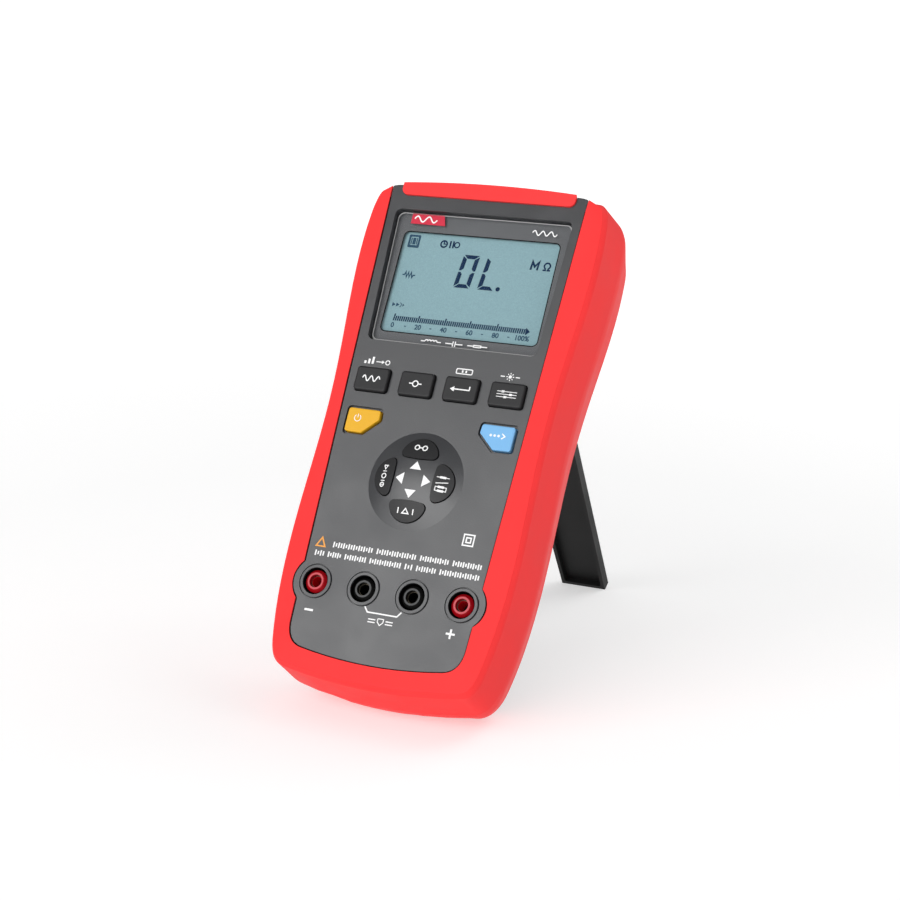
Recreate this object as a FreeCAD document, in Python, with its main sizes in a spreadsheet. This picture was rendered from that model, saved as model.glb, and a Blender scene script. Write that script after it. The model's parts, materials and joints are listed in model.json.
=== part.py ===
"""Handheld LCR meter standing on its opened tilt stand.

Every piece is drawn in the meter's own frame: X to the right across the face, Y up the face,
Z out of the face, with the grey face plate at Z = 0. At the end all pieces are leant back together,
so the row frame has +Z up, the face looks towards -Y, and the meter rests on the heel of its bumper
and on the foot of its stand.
"""
import FreeCAD, Part
import math
import os

import Sketcher

os.makedirs("parts", exist_ok=True)
V = FreeCAD.Vector
MESH_FINENESS = 0.1
FITTED_GAP = 0.12
BEYOND_TOP = 101
doc = FreeCAD.newDocument("lcr_meter")

# ---------------------------------------------------------------- driving dimensions, mm and degrees
SIZES = {
    # stance
    "lean_angle": 29.85, "floor_level": -95.9, "stand_angle": 61.6,
    # heights up the face where the side outline is set
    "up_foot": -80, "up_shin": -60, "up_hip": -30, "up_waist": 6, "up_ribs": 28, "up_shoulder": 58,
    "up_top": 84,
    # half widths of the bumper's front bend at those heights
    "half_foot": 41.2, "half_shin": 44.0, "half_hip": 44.7, "half_waist": 43.9, "half_ribs": 44.8,
    "half_shoulder": 47.2, "half_top": 47.1,
    # levels of the bumper's rings, from the face to the back
    "lip_level": 0.5, "bevel_level": -1.3, "bend_level": -3.4, "belt_level": -22, "rear_level": -36.5,
    "back_level": -41, "bevel_inset": 1.4, "belt_bulge": 1.1, "rear_inset": 2.9, "rear_taper": 0.0125,
    "back_inset": 4,
    # how softly those rings are rounded into each other
    "bend_round": 2.4, "belt_round": 14, "rear_round": 4, "back_round": 1.2,
    # ends of the rings: how far the middle reaches, and how far the arc's ends are set back
    "bend_bottom": -91.2, "bend_top": 96.6, "belt_bottom": -95.0,
    "belt_top": 95, "rear_bottom": -90.2, "rear_top": 89,
    # grey face plate
    "face_foot": -72, "face_half": 36.06, "face_flare": 0.03, "face_bottom": -83.25, "face_top": 96.6,
    "face_gap": 0.35, "face_wall": 2.2, "parting_level": -20, "bumper_wall": 2.6, "case_wall": 2.2,
    "case_gap": 0.15,
    "rear_case_level": -36, "shoulder_level": -3.6, "arms_start": 74,
    # bulge of the face round each outer socket
    "bulge_radius": 8.8,
    # red strip over the top edge
    "strip_half": 34.5, "strip_low": 91.3, "strip_corner": 2.4, "strip_depth": 15, "strip_wall": 1.5,
    "strip_proud": 0.35,
    # lens and display
    "lens_bottom": 34.4, "lens_top": 85.6, "lens_half_bottom": 33.2, "lens_half_top": 35.2,
    "lens_corner": 2.5, "lens_level": -2.2, "lens_thick": 1.2, "lens_gap": 0.25,
    "ledge_level": -3.5, "ledge_thick": 1,
    "window_half": 32.2, "window_bottom": 38.2, "window_top": 79.8,
    "glass_half": 33.4, "glass_bottom": 37.4, "glass_top": 81, "glass_level": -4.6, "glass_thick": 2.2,
    "backlight_bottom": 40.3, "backlight_thick": 2.7, "frame_wall": 1.8, "frame_thick": 5.3,
    "zebra_half": 30, "zebra_bottom": 37.7, "zebra_wide": 2.0,
    # printed board
    "board_level": -10.4, "board_thick": 1.6, "board_half": 33.5, "board_bottom": -46, "board_top": 88.5,
    "tab_half": 38, "tab_low": 17, "tab_high": 29,
    "post_x": 31, "post_high": 28, "post_low": -42, "post_radius": 2.6, "board_screw_radius": 1.1,
    # keypad
    "membrane_level": -8, "membrane_thick": 1.4, "membrane_half": 32.5, "membrane_bottom": -37,
    "membrane_top": 24.5,
    "key_base": -6.8, "key_gap": 0.25, "flange_level": -2.3, "flange_thick": 1,
    "flange_wide": 0.6,
    "row_key_half": 6.54, "row_key_low": 14.2, "row_key_high": 23.2, "row_key_top": 1.8,
    "row_inner": 8.82, "row_outer": 26.61, "row_key_round": 1.3, "row_key_edge": 0.7,
    "corner_key_top": 0.8, "corner_pocket": 0.95, "corner_pocket_depth": 1.2, "corner_key_round": 1,
    "corner_key_edge": 0.45,
    # domed navigation pad
    "nav_up": -16.44, "nav_radius": 18.1, "nav_height": 2.9, "nav_key_inner": 7.7, "nav_key_outer": 15.4,
    "nav_key_half": 7.2, "nav_key_bow": 0.5, "nav_key_rise": 0.6, "nav_key_round": 1.9,
    # sockets: a collar moulded on the face plate, with a coloured core standing in it
    "socket_up": -57.16, "socket_pitch": 19, "collar_radius": 6.05, "collar_bore": 4.9, "collar_rim": 0.4,
    "collar_end": -14.8, "collar_groove": 0.35, "groove_depth": 0.45,
    "core_radius": 4.1, "core_chamfer": 0.98, "core_top": 0.1, "core_base_radius": 5.9,
    "core_base_level": -15, "socket_depth": 17, "tube_bore": 2.35, "contact_radius": 2.3,
    "contact_bore": 2.0, "contact_top": -1.5, "contact_bottom": -16, "contact_tail": 1.2,
    "contact_end": -20.5,
    # battery and its door
    "battery_half": 13.25, "battery_low": -45, "battery_high": 3.5, "battery_front": -15.2,
    "battery_back": -32.7, "clip_thick": 3.2, "bay_gap": 0.4, "bay_wall": 1.2, "bay_top": 8.5,
    "door_half": 24, "door_low": -49, "door_high": 17, "door_gap": 0.25, "door_screw_up": 13.5,
    # stand and its channel
    "hinge_up": 74, "hinge_level": -37.6,
    "stand_length": 166.5, "stand_half_hinge": 11.7, "stand_half_foot": 9.8,
    "stand_outer": -2.4, "stand_inner": 2, "stand_plate": 1.6, "stand_rim": 1.5, "foot_rim": 3,
    "foot_chamfer": 1.2, "barrel_radius": 3, "barrel_half": 11.5, "pin_radius": 1.25, "pin_half": 17,
    "pin_clearance": 0.05,
    "channel_gap": 0.7, "channel_floor": -34.3, "channel_skin": 1.4, "channel_wall": 1.8,
    "channel_top": 78.6, "channel_bottom": -98,
    # fasteners, socket for data, small parts
    "boss_high_x": 39.3, "boss_high_up": 79, "boss_low_x": 32, "boss_low_up": -72, "boss_radius": 3.3,
    "case_screw_radius": 1.5, "case_head_radius": 2.7, "case_head_level": -30, "case_screw_tip": -9,
    "data_up": 23, "data_half": 4, "data_high": -12.2, "data_low": -16.2, "data_out": -43.4, "data_in": -34,
    "buzzer_x": 22, "buzzer_up": -30, "buzzer_radius": 6, "buzzer_tall": 4.5,
    "chip_half": 7, "chip_up": 62, "chip_tall": 1.6,
    "window_inset": 7,
}

sheet = doc.addObject("Spreadsheet::Sheet", "Sizes")
for row, (alias, value) in enumerate(SIZES.items(), start=1):
    sheet.set("A%d" % row, alias)
    sheet.set("B%d" % row, str(value))
    sheet.setAlias("B%d" % row, alias)
doc.recompute()


class Size:
    """A length worked out from the sheet's cells, kept both as a number and as an expression."""

    def __init__(self, value, text):
        self.value = value
        self.text = text

    def __add__(self, other):
        other = as_size(other)
        return Size(self.value + other.value, "(%s + %s)" % (self.text, other.text))

    def __sub__(self, other):
        other = as_size(other)
        return Size(self.value - other.value, "(%s - %s)" % (self.text, other.text))

    def __mul__(self, other):
        other = as_size(other)
        return Size(self.value * other.value, "(%s * %s)" % (self.text, other.text))

    def __neg__(self):
        return self * -1


def as_size(number):
    return number if isinstance(number, Size) else Size(float(number), "%.6f" % number)


def cell(alias):
    """A cell of the sheet, for expressions."""
    return Size(float(sheet.get(alias)), "Sizes." + alias)


def mm(alias):
    """A cell of the sheet, as a plain number for Part's own functions."""
    return float(sheet.get(alias))


nodes = {}


def keep(label, item):
    """Give a finished piece its node name."""
    item.Label = label
    nodes[label] = item
    return item


def feature(label, shape):
    """A piece whose shape is worked out with Part's own functions."""
    item = doc.addObject("Part::Feature", label)
    item.Shape = shape
    return keep(label, item)


# ---------------------------------------------------------------- helpers for sketched pieces
def new_body(label):
    body = doc.addObject("PartDesign::Body", label)
    return keep(label, body)


def face_sketch(body, level, role="XY_Plane"):
    """A sketch on one of the body's own planes, raised to a level."""
    sketch = body.newObject("Sketcher::SketchObject", body.Label + "_sketch")
    plane = [item for item in body.Origin.OriginFeatures if item.Role == role][0]
    sketch.AttachmentSupport = (plane, [""])
    sketch.MapMode = "FlatFace"
    sketch.setExpression(".AttachmentOffset.Base.z", as_size(level).text)
    return sketch


def hold_point(sketch, geometry, end, x, y):
    """Pin one point of a sketch to distances taken from the sheet."""
    for kind, size in (("DistanceX", as_size(x)), ("DistanceY", as_size(y))):
        if abs(size.value) < 1e-9:
            axis = -2 if kind == "DistanceX" else -1
            sketch.addConstraint(Sketcher.Constraint("PointOnObject", geometry, end, axis))
            continue
        index = sketch.addConstraint(Sketcher.Constraint(kind, -1, 1, geometry, end, size.value))
        sketch.setExpression("Constraints[%d]" % index, size.text)


def draw_polygon(sketch, corners):
    """A closed outline of straight lines with every corner held in place."""
    corners = [(as_size(x), as_size(y)) for x, y in corners]
    first = sketch.GeometryCount
    count = len(corners)
    for index in range(count):
        start, end = corners[index], corners[(index + 1) % count]
        line = Part.LineSegment(V(start[0].value, start[1].value, 0), V(end[0].value, end[1].value, 0))
        sketch.addGeometry(line, False)
    for index in range(count):
        sketch.addConstraint(
            Sketcher.Constraint("Coincident", first + index, 2, first + (index + 1) % count, 1))
    for index in range(count):
        hold_point(sketch, first + index, 1, *corners[index])


def draw_rectangle(sketch, left, right, low, high):
    draw_polygon(sketch, [(left, low), (right, low), (right, high), (left, high)])


def draw_circle(sketch, x, y, radius):
    x, y, radius = as_size(x), as_size(y), as_size(radius)
    index = sketch.addGeometry(Part.Circle(V(x.value, y.value, 0), V(0, 0, 1), radius.value), False)
    hold_point(sketch, index, 3, x, y)
    limit = sketch.addConstraint(Sketcher.Constraint("Radius", index, radius.value))
    sketch.setExpression("Constraints[%d]" % limit, radius.text)


def pad(body, sketch, length):
    """Raise a sketch towards the face."""
    item = body.newObject("PartDesign::Pad", body.Label + "_pad")
    item.Profile = sketch
    item.setExpression("Length", as_size(length).text)
    doc.recompute()
    return item


def pocket(body, sketch, depth):
    """Cut a sketch away from the face side down; the volume has to drop."""
    before = body.Shape.Volume
    item = body.newObject("PartDesign::Pocket", body.Label + "_pocket")
    item.Profile = sketch
    item.setExpression("Length", as_size(depth).text)
    doc.recompute()
    if body.Shape.Volume > before - 0.01:
        raise RuntimeError(body.Label + ": the pocket cuts nothing")
    return item


def round_edges(body, base, radius, pick):
    """Fillet the edges that pick chooses."""
    names = ["Edge%d" % (index + 1) for index, edge in enumerate(base.Shape.Edges) if pick(edge)]
    item = body.newObject("PartDesign::Fillet", body.Label + "_fillet")
    item.Base = (base, names)
    item.setExpression("Radius", as_size(radius).text)
    doc.recompute()
    return item


def is_upright(edge):
    start, end = edge.Vertexes[0].Point, edge.Vertexes[-1].Point
    return abs(start.x - end.x) + abs(start.y - end.y) < 1e-6 < abs(start.z - end.z)


def is_at_level(level):
    """Chooses the edges that lie at one level."""
    return lambda edge: all(abs(vertex.Z - level) < 1e-6 for vertex in edge.Vertexes)


def prism(label, corners, low, high, corner=None):
    """A straight block with a polygon outline."""
    body = new_body(label)
    sketch = face_sketch(body, low)
    draw_polygon(sketch, corners)
    base = pad(body, sketch, as_size(high) - low)
    if corner is not None:
        round_edges(body, base, corner, is_upright)
    return body


def block(label, left, right, bottom, top, low, high, corner=None):
    """A straight block with a rectangular outline."""
    return prism(label, [(left, bottom), (right, bottom), (right, top), (left, top)], low, high, corner)


# ---------------------------------------------------------------- helpers for moulded outlines
def through(points):
    curve = Part.BSplineCurve()
    curve.interpolate(points)
    return curve


def meeting_point(first, first_way, second, second_way):
    """Where two lines in one level meet."""
    cross = first_way.x * second_way.y - first_way.y * second_way.x
    gap = second - first
    reach = (gap.x * second_way.y - gap.y * second_way.x) / cross
    return first + first_way * reach


def ring(level, half_width, bottom, top):
    """A closed outline at one level: curved sides, bowed ends and corners tangent to both.

    half_width gives the side at a height. Each end is (height where the side stops, reach of the middle,
    half length of the bowed end, bow)."""
    side_points = []
    low, high = bottom[0], top[0]
    between = [mm(name) for name in ("up_shin", "up_hip", "up_waist", "up_ribs", "up_shoulder")]
    heights = [low] + between + [high]
    for height in heights:
        side_points.append(V(half_width(height), height, level))
    side = through(side_points)
    edges = {"side": side}
    for name, end, sign in (("bottom", bottom, 1), ("top", top, -1)):
        _, reach, half, bow = end
        tip = V(half, reach + sign * bow, level)
        middle = V(0, reach, level)
        arc = Part.Arc(V(-half, tip.y, level), middle, tip)
        slope = sign * 2 * bow / half
        start = side.StartPoint if sign > 0 else side.EndPoint
        way = side.tangent(side.FirstParameter if sign > 0 else side.LastParameter)[0]
        pole = meeting_point(start, way, tip, V(1, slope, 0))
        corner = Part.BezierCurve()
        corner.setPoles([start, pole, tip])
        edges[name] = arc
        edges[name + "_corner"] = corner
    mirror = FreeCAD.Matrix()
    mirror.A11 = -1

    def mirrored(curve):
        shape = curve.toShape()
        return shape.transformGeometry(mirror)

    chain = [
        edges["side"].toShape(), edges["top_corner"].toShape(), edges["top"].toShape(),
        mirrored(edges["top_corner"]), mirrored(edges["side"]), mirrored(edges["bottom_corner"]),
        edges["bottom"].toShape(), edges["bottom_corner"].toShape(),
    ]
    return Part.Wire(Part.__sortEdges__(chain))


SIDE_STATIONS = [(mm("up_" + name), mm("half_" + name))
                 for name in ("foot", "shin", "hip", "waist", "ribs", "shoulder", "top")]


def bend_half(height):
    """Half width of the bumper's front bend, read between the stations."""
    stations = SIDE_STATIONS
    height = min(max(height, stations[0][0]), stations[-1][0])
    for (low, first), (high, second) in zip(stations, stations[1:]):
        if height <= high:
            return first + (second - first) * (height - low) / (high - low)
    return stations[-1][1]


def face_half(height):
    return mm("face_half") + mm("face_flare") * height


def bend_ring(level, inset):
    return ring(level, lambda height: bend_half(height) - inset,
                (mm("up_foot"), mm("bend_bottom") + inset, 35, 3.1),
                (mm("up_top"), mm("bend_top") - inset, 42.5, 1.9))


def belt_ring(level, inset):
    widen = mm("belt_bulge") - inset
    return ring(level, lambda height: bend_half(height) + widen,
                (mm("up_foot"), mm("belt_bottom") + inset, 36, 4.4),
                (mm("up_top"), mm("belt_top") - inset, 44.5, 1.4))


def rear_ring(level, inset):
    def half(height):
        return bend_half(height) - mm("rear_inset") + mm("rear_taper") * height - inset
    return ring(level, half,
                (mm("up_foot") + 2, mm("rear_bottom") + inset, 27 - inset * 0.6, 0.6),
                (mm("up_top") - 5, mm("rear_top") - inset, 38 - inset * 0.6, 1.6))


def face_ring(level, gap):
    return ring(level, lambda height: face_half(height) + gap,
                (mm("face_foot"), mm("face_bottom") - gap, 27.5, 2.3),
                (mm("up_top") + 5, mm("face_top") + gap, 37.2, 1.5))


def skin(inset):
    """The outer shape of the bumper, or the same shape drawn in by an inset."""
    levels = {"bend": mm("bend_level") - inset * 0.4, "rear": mm("rear_level"),
              "back": mm("back_level") + inset, "belt": mm("belt_level")}
    rings = [
        face_ring(mm("lip_level") - inset, mm("face_gap") - inset),
        bend_ring(mm("bevel_level") - inset, mm("bevel_inset") + inset),
        bend_ring(levels["bend"], inset),
        belt_ring(levels["belt"], inset),
        rear_ring(levels["rear"], inset),
        rear_ring(levels["back"], mm("back_inset") + inset),
    ]
    shape = Part.makeLoft(rings, True, True)
    for name, level in levels.items():
        chosen = [edge for edge in shape.Edges if is_at_level(level)(edge)]
        shape = shape.makeFillet(mm(name + "_round"), chosen)
    return shape


def slab(outline, low, high):
    """A flat outline raised between two levels."""
    face = Part.Face(outline)
    face.translate(V(0, 0, low - outline.Vertexes[0].Z))
    return face.extrude(V(0, 0, high - low))


def plate(corners, low, high, corner=0.0):
    """A polygon between two levels, with its upright edges rounded."""
    points = [V(x, y, low) for x, y in corners]
    shape = Part.Face(Part.makePolygon(points + points[:1])).extrude(V(0, 0, high - low))
    if corner:
        shape = shape.makeFillet(corner, [edge for edge in shape.Edges if is_upright(edge)])
    return shape


def rectangle(left, right, low, high):
    return [(left, low), (right, low), (right, high), (left, high)]


def peg(x, y, radius, low, high):
    return Part.makeCylinder(radius, high - low, V(x, y, low))


def grown(corners, amount):
    """A convex outline, listed anticlockwise, moved outwards by an amount."""
    count = len(corners)
    result = []
    for index in range(count):
        before, here, after = (V(*corners[(index + step) % count], 0) for step in (-1, 0, 1))
        way_in = (here - before).normalize()
        way_out = (after - here).normalize()
        first = here + V(way_in.y, -way_in.x, 0) * amount
        second = here + V(way_out.y, -way_out.x, 0) * amount
        corner = meeting_point(first, way_in, second, way_out)
        result.append((corner.x, corner.y))
    return result


# ---------------------------------------------------------------- outlines shared by several pieces
LENS = [(-mm("lens_half_bottom"), mm("lens_bottom")), (mm("lens_half_bottom"), mm("lens_bottom")),
        (mm("lens_half_top"), mm("lens_top")), (-mm("lens_half_top"), mm("lens_top"))]
WINDOW = rectangle(-mm("window_half"), mm("window_half"), mm("window_bottom"), mm("window_top"))
ROW_CENTRES = {"one": -mm("row_outer"), "two": -mm("row_inner"),
               "three": mm("row_inner"), "four": mm("row_outer")}
SOCKETS = {"one": -1.5, "two": -0.5, "three": 0.5, "four": 1.5}
BOSSES = [(sign * mm(name + "_x"), mm(name + "_up"))
          for name in ("boss_high", "boss_low") for sign in (-1, 1)]
POSTS = [(sign * mm("post_x"), mm(name)) for name in ("post_high", "post_low") for sign in (-1, 1)]
# five-sided key at the left of the pad, listed anticlockwise; the key at the right is its mirror
POWER_KEY = [(-32.8, 7.5), (-32.7, -1.4), (-25.9, -1.5), (-19.8, 4.1), (-20.1, 7.5)]
FUNCTION_KEY = [(-x, y) for x, y in reversed(POWER_KEY)]
STRIP = rectangle(-mm("strip_half"), mm("strip_half"), mm("strip_low"), BEYOND_TOP)


def socket_x(position):
    return position * mm("socket_pitch")


def channel(gap, low, high):
    """The tapered space that the folded stand lies in, grown by a gap."""
    top, bottom = mm("channel_top") + gap, mm("channel_bottom") - gap
    spread = (mm("stand_half_hinge") - mm("stand_half_foot")) / mm("stand_length")

    def half(height):
        return mm("stand_half_hinge") - spread * (mm("hinge_up") - height) + mm("channel_gap") + gap
    corners = [(-half(bottom), bottom), (half(bottom), bottom), (half(top), top), (-half(top), top)]
    return plate(corners, low, high)


def door_zone(gap, low, high):
    half = mm("door_half") + gap
    return plate(rectangle(-half, half, mm("door_low") - gap, mm("door_high") + gap), low, high, 2)


def nav_turns():
    """The four navigation keys, by the way they point."""
    return {"up": 0, "left": 90, "down": 180, "right": 270}


def nav_outline(gap, low, high):
    """The upper navigation key's outline: a flat arc inside, a round arc outside, rounded tips."""
    inner, outer = mm("nav_key_inner") - gap, mm("nav_key_outer") + gap
    half, tip = mm("nav_key_half") + gap, mm("nav_key_inner") + mm("nav_key_bow")
    left, right = V(-half, tip, low), V(half, tip, low)
    edges = [Part.Arc(left, V(0, inner, low), right).toShape(),
             Part.Arc(right, V(0, outer, low), left).toShape()]
    solid = Part.Face(Part.Wire(edges)).extrude(V(0, 0, high - low))
    return solid.makeFillet(mm("nav_key_round"), [edge for edge in solid.Edges if is_upright(edge)])


def nav_place(angle):
    return FreeCAD.Placement(V(0, mm("nav_up"), 0), FreeCAD.Rotation(V(0, 0, 1), angle))


def dome(rise):
    """A ball, its poles at the sides, whose cap is the navigation pad or stands proud of it by a rise."""
    height, radius = mm("nav_height"), mm("nav_radius")
    reach = (radius ** 2 + height ** 2) / (2 * height)
    ball = Part.makeSphere(reach + rise)
    ball.rotate(V(0, 0, 0), V(0, 1, 0), 90)
    ball.translate(V(0, mm("nav_up"), height - reach))
    return ball


# ---------------------------------------------------------------- the case halves
def case_blank(gap):
    """The grey case as one solid lump: shoulders under the bumper, face plate and bare top end."""
    wall = mm("bumper_wall") - gap
    shoulders = Part.makeLoft([
        bend_ring(mm("shoulder_level") + gap, wall + 0.4),
        belt_ring(mm("parting_level"), wall),
        rear_ring(mm("rear_case_level"), wall + 0.2),
        rear_ring(mm("rear_case_level") - 2.6 - gap, wall + 2),
    ], True, True)
    face = slab(face_ring(0, gap * 2.3), mm("shoulder_level") - 3, 0)
    lump = shoulders.fuse(face)
    for sign in (-1, 1):
        x = socket_x(sign * 1.5)
        bulge = peg(x, mm("socket_up"), mm("bulge_radius") + gap * 2.3, mm("shoulder_level") - 2, 0)
        lump = lump.fuse(bulge)
    return lump


def between_arms(gap):
    """The space between the bumper's two arms at the top; its sides carry on the face plate's edges."""
    low, high = mm("arms_start"), BEYOND_TOP
    return plate([(-face_half(low) - gap, low), (face_half(low) + gap, low),
                  (face_half(high) + gap, high), (-face_half(high) - gap, high)], -60, 60)


def top_end(inset, gap):
    """The part of the outer skin between the bumper's arms, at the top."""
    return skin(inset).common(between_arms(gap))


def back_window(gap, low, high):
    return slab(rear_ring(low, mm("window_inset") - gap), low, high)


def whole_case():
    lump = case_blank(0)
    flush = Part.makeBox(200, 300, 60, V(-100, -150, -60))
    lump = lump.fuse(top_end(0.2, 0).common(flush))
    lump = lump.fuse(back_window(0, mm("back_level"), mm("rear_case_level")))
    return lump.removeSplitter()


def cavity(low, high):
    """The room inside both halves."""
    wall = mm("bumper_wall") + mm("case_wall")
    room = Part.makeLoft([
        bend_ring(mm("shoulder_level") - mm("face_wall"), wall + 0.4),
        belt_ring(mm("parting_level"), wall),
        rear_ring(mm("rear_case_level") - 0.4, wall + 0.2),
    ], True, True)
    face = slab(face_ring(0, -1.6), mm("shoulder_level") - 4, -mm("face_wall"))
    room = room.fuse(face)
    return room.common(Part.makeBox(200, 300, high - low, V(-100, -150, low)))


CASE = whole_case()


def front_case():
    floor = mm("parting_level")
    half_space = Part.makeBox(200, 300, 60, V(-100, -150, floor))
    shell = CASE.common(half_space).cut(cavity(floor - 1, 1))
    # seat for the strip over the top edge
    seat = top_end(mm("strip_wall") - mm("strip_proud"), 10)
    seat = seat.common(Part.makeBox(200, 300, 60, V(-100, -150, -60 - mm("strip_wall") + mm("strip_proud"))))
    notch = plate(grown(STRIP, FITTED_GAP), -mm("strip_depth") - FITTED_GAP, 5,
                  mm("strip_corner") + FITTED_GAP).cut(seat)
    shell = shell.cut(notch)
    # lens seat with its ledge
    ledge_floor = mm("ledge_level") - mm("ledge_thick")
    shell = shell.fuse(plate(grown(LENS, 1.7), ledge_floor, -mm("face_wall") + 0.5, 3.5))
    shell = shell.cut(plate(grown(LENS, mm("lens_gap")), mm("ledge_level"), 5, mm("lens_corner")))
    shell = shell.cut(plate(WINDOW, ledge_floor - 1, 5, 1.5))
    # domed pad
    cap = dome(0).common(peg(0, mm("nav_up"), mm("nav_radius") + 1, -1, 10))
    cap = cap.cut(Part.makeBox(80, 80, 5, V(-40, mm("nav_up") - 40, -6)))
    shell = shell.fuse(cap)
    # posts for the board and bosses for the case screws
    for x, y in POSTS:
        shell = shell.fuse(peg(x, y, mm("post_radius"), mm("board_level"), -mm("face_wall") + 0.3))
        shell = shell.cut(peg(x, y, mm("board_screw_radius") + 0.1, mm("board_level") - 1, -4))
    for x, y in BOSSES:
        boss = peg(x, y, mm("boss_radius"), floor, -5.5)
        shell = shell.fuse(boss)
        shell = shell.cut(peg(x, y, mm("case_screw_radius") + 0.1, floor - 1, mm("case_screw_tip") + 0.6))
    # openings
    for x in ROW_CENTRES.values():
        corners = rectangle(x - mm("row_key_half"), x + mm("row_key_half"),
                            mm("row_key_low"), mm("row_key_high"))
        shell = shell.cut(plate(grown(corners, mm("key_gap")), -10, 5, mm("row_key_round")))
    for corners in (POWER_KEY, FUNCTION_KEY):
        shell = shell.cut(plate(grown(corners, mm("key_gap")), -10, 5, mm("corner_key_round")))
        shell = shell.cut(plate(grown(corners, mm("corner_pocket")), -mm("corner_pocket_depth"), 5, 1.6))
    for angle in nav_turns().values():
        hole = nav_outline(mm("key_gap"), -10, 10)
        hole.Placement = nav_place(angle)
        shell = shell.cut(hole)
    # collars of the sockets, each in a fine groove
    for position in SOCKETS.values():
        x, up = socket_x(position), mm("socket_up")
        groove = peg(x, up, mm("collar_radius") + mm("collar_groove"), -mm("groove_depth"), 5)
        collar = peg(x, up, mm("collar_radius"), mm("collar_end"), mm("collar_rim"))
        top_edge = [edge for edge in collar.Edges if is_at_level(mm("collar_rim"))(edge)]
        collar = collar.makeFillet(mm("collar_rim") * 0.7, top_edge)
        shell = shell.cut(groove).fuse(collar)
        shell = shell.cut(peg(x, up, mm("collar_bore"), mm("collar_end") - 1, 5))
    data = Part.makeBox(20, 2 * mm("data_half") + 0.6, mm("data_high") - mm("data_low") + 0.6,
                        V(-58, mm("data_up") - mm("data_half") - 0.3, mm("data_low") - 0.3))
    shell = shell.cut(data)
    return feature("front_case", shell.removeSplitter())


def rear_shell():
    """The back half with the stand's channel, before the battery door is parted off."""
    top = mm("parting_level")
    half_space = Part.makeBox(200, 300, 60, V(-100, -150, top - 60))
    lump = CASE.common(half_space)
    shell = lump.cut(cavity(-60, top + 1))
    skin_top = mm("channel_floor") + mm("channel_skin")
    trough = channel(mm("channel_wall"), -60, skin_top).common(lump)
    shell = shell.fuse(trough)
    shell = shell.cut(channel(0, -60, mm("channel_floor")))
    return shell


def rear_case_and_door():
    shell = rear_shell()
    split = mm("channel_floor") + mm("channel_skin")
    door = shell.common(door_zone(0, -60, split))
    shell = shell.cut(door_zone(mm("door_gap"), -60, split + 0.05))
    # battery bay
    gap, wall = mm("bay_gap"), mm("bay_wall")
    half = mm("battery_half") + gap
    low, high = mm("battery_low") - gap, mm("bay_top")
    bay = plate(rectangle(-half - wall, half + wall, low - wall, high + wall), split + 0.1, -21)
    bay = bay.cut(plate(rectangle(-half, half, low, high), split - 1, 0))
    shell = shell.fuse(bay)
    # arms that carry the bay from the back wall, beyond the door
    for sign in (-1, 1):
        for height in (low - wall, high):
            left = min(sign * half, sign * 36)
            rib = Part.makeBox(36 - half, wall, -26 - split, V(left, height, split + 0.1))
            shell = shell.fuse(rib)
        rib = Part.makeBox(wall, mm("door_high") - mm("door_low") + 20, 8,
                           V(sign * 30 - wall / 2, mm("door_low") - 10, -38.6))
        shell = shell.fuse(rib)
    # post for the door screw
    up = mm("door_screw_up")
    shell = shell.fuse(peg(0, up, 2.8, split + 0.1, -22).fuse(
        Part.makeBox(2, 5, 8, V(-1, up - 5, split + 0.1))))
    shell = shell.cut(peg(0, up, 1.3, -60, -24))
    door = door.cut(peg(0, up, 1.5, -60, 0))
    # screw bosses with counterbores
    for x, y in BOSSES:
        shell = shell.fuse(peg(x, y, mm("boss_radius") + 0.6, -37, mm("parting_level")).common(CASE))
        shell = shell.cut(peg(x, y, mm("case_head_radius") + 0.3, -60, mm("case_head_level")))
        shell = shell.cut(peg(x, y, mm("case_screw_radius") + 0.15, -60, 0))
    # hinge pin holes through the channel's walls
    pin = Part.makeCylinder(mm("pin_radius") + 0.02, 2 * mm("pin_half") + 0.2,
                            V(-mm("pin_half") - 0.1, mm("hinge_up"), mm("hinge_level")), V(1, 0, 0))
    shell = shell.cut(pin)
    feature("rear_case", shell.removeSplitter())
    feature("battery_door", door.removeSplitter())


def rubber_boot():
    """Red bumper: both sides, the bottom and a border round the back, open at the top end."""
    blank = skin(0)
    blank = blank.cut(case_blank(mm("case_gap")))
    blank = blank.cut(between_arms(mm("face_gap")))
    for sign in (-1, 1):
        x, radius = socket_x(sign * 1.5), mm("bulge_radius") + mm("face_gap")
        blank = blank.cut(peg(x, mm("socket_up"), radius, -3, 5))
    blank = blank.cut(back_window(0.3, mm("back_level") - 1, mm("rear_case_level") + 1))
    blank = blank.cut(slab(face_ring(0, mm("face_gap")), mm("shoulder_level") - 3, 5))
    blank = blank.cut(channel(mm("channel_wall") + 0.2, -60, mm("channel_floor") + mm("channel_skin") + 0.2))
    data = Part.makeBox(30, 2 * mm("data_half") + 3, mm("data_high") - mm("data_low") + 3,
                        V(-60, mm("data_up") - mm("data_half") - 1.5, mm("data_low") - 1.5))
    blank = blank.cut(data)
    return blank


# ---------------------------------------------------------------- the floor, which trims heel and foot
LEAN = math.radians(mm("lean_angle"))
UP = V(0, math.cos(LEAN), math.sin(LEAN))


def below_floor():
    """Everything below the floor, in the meter's own frame."""
    box = Part.makeBox(400, 600, 100, V(-200, -300, -100))
    tip = FreeCAD.Rotation(V(1, 0, 0), mm("lean_angle") - 90)
    box.Placement = FreeCAD.Placement(UP * mm("floor_level"), tip)
    return box


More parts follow.
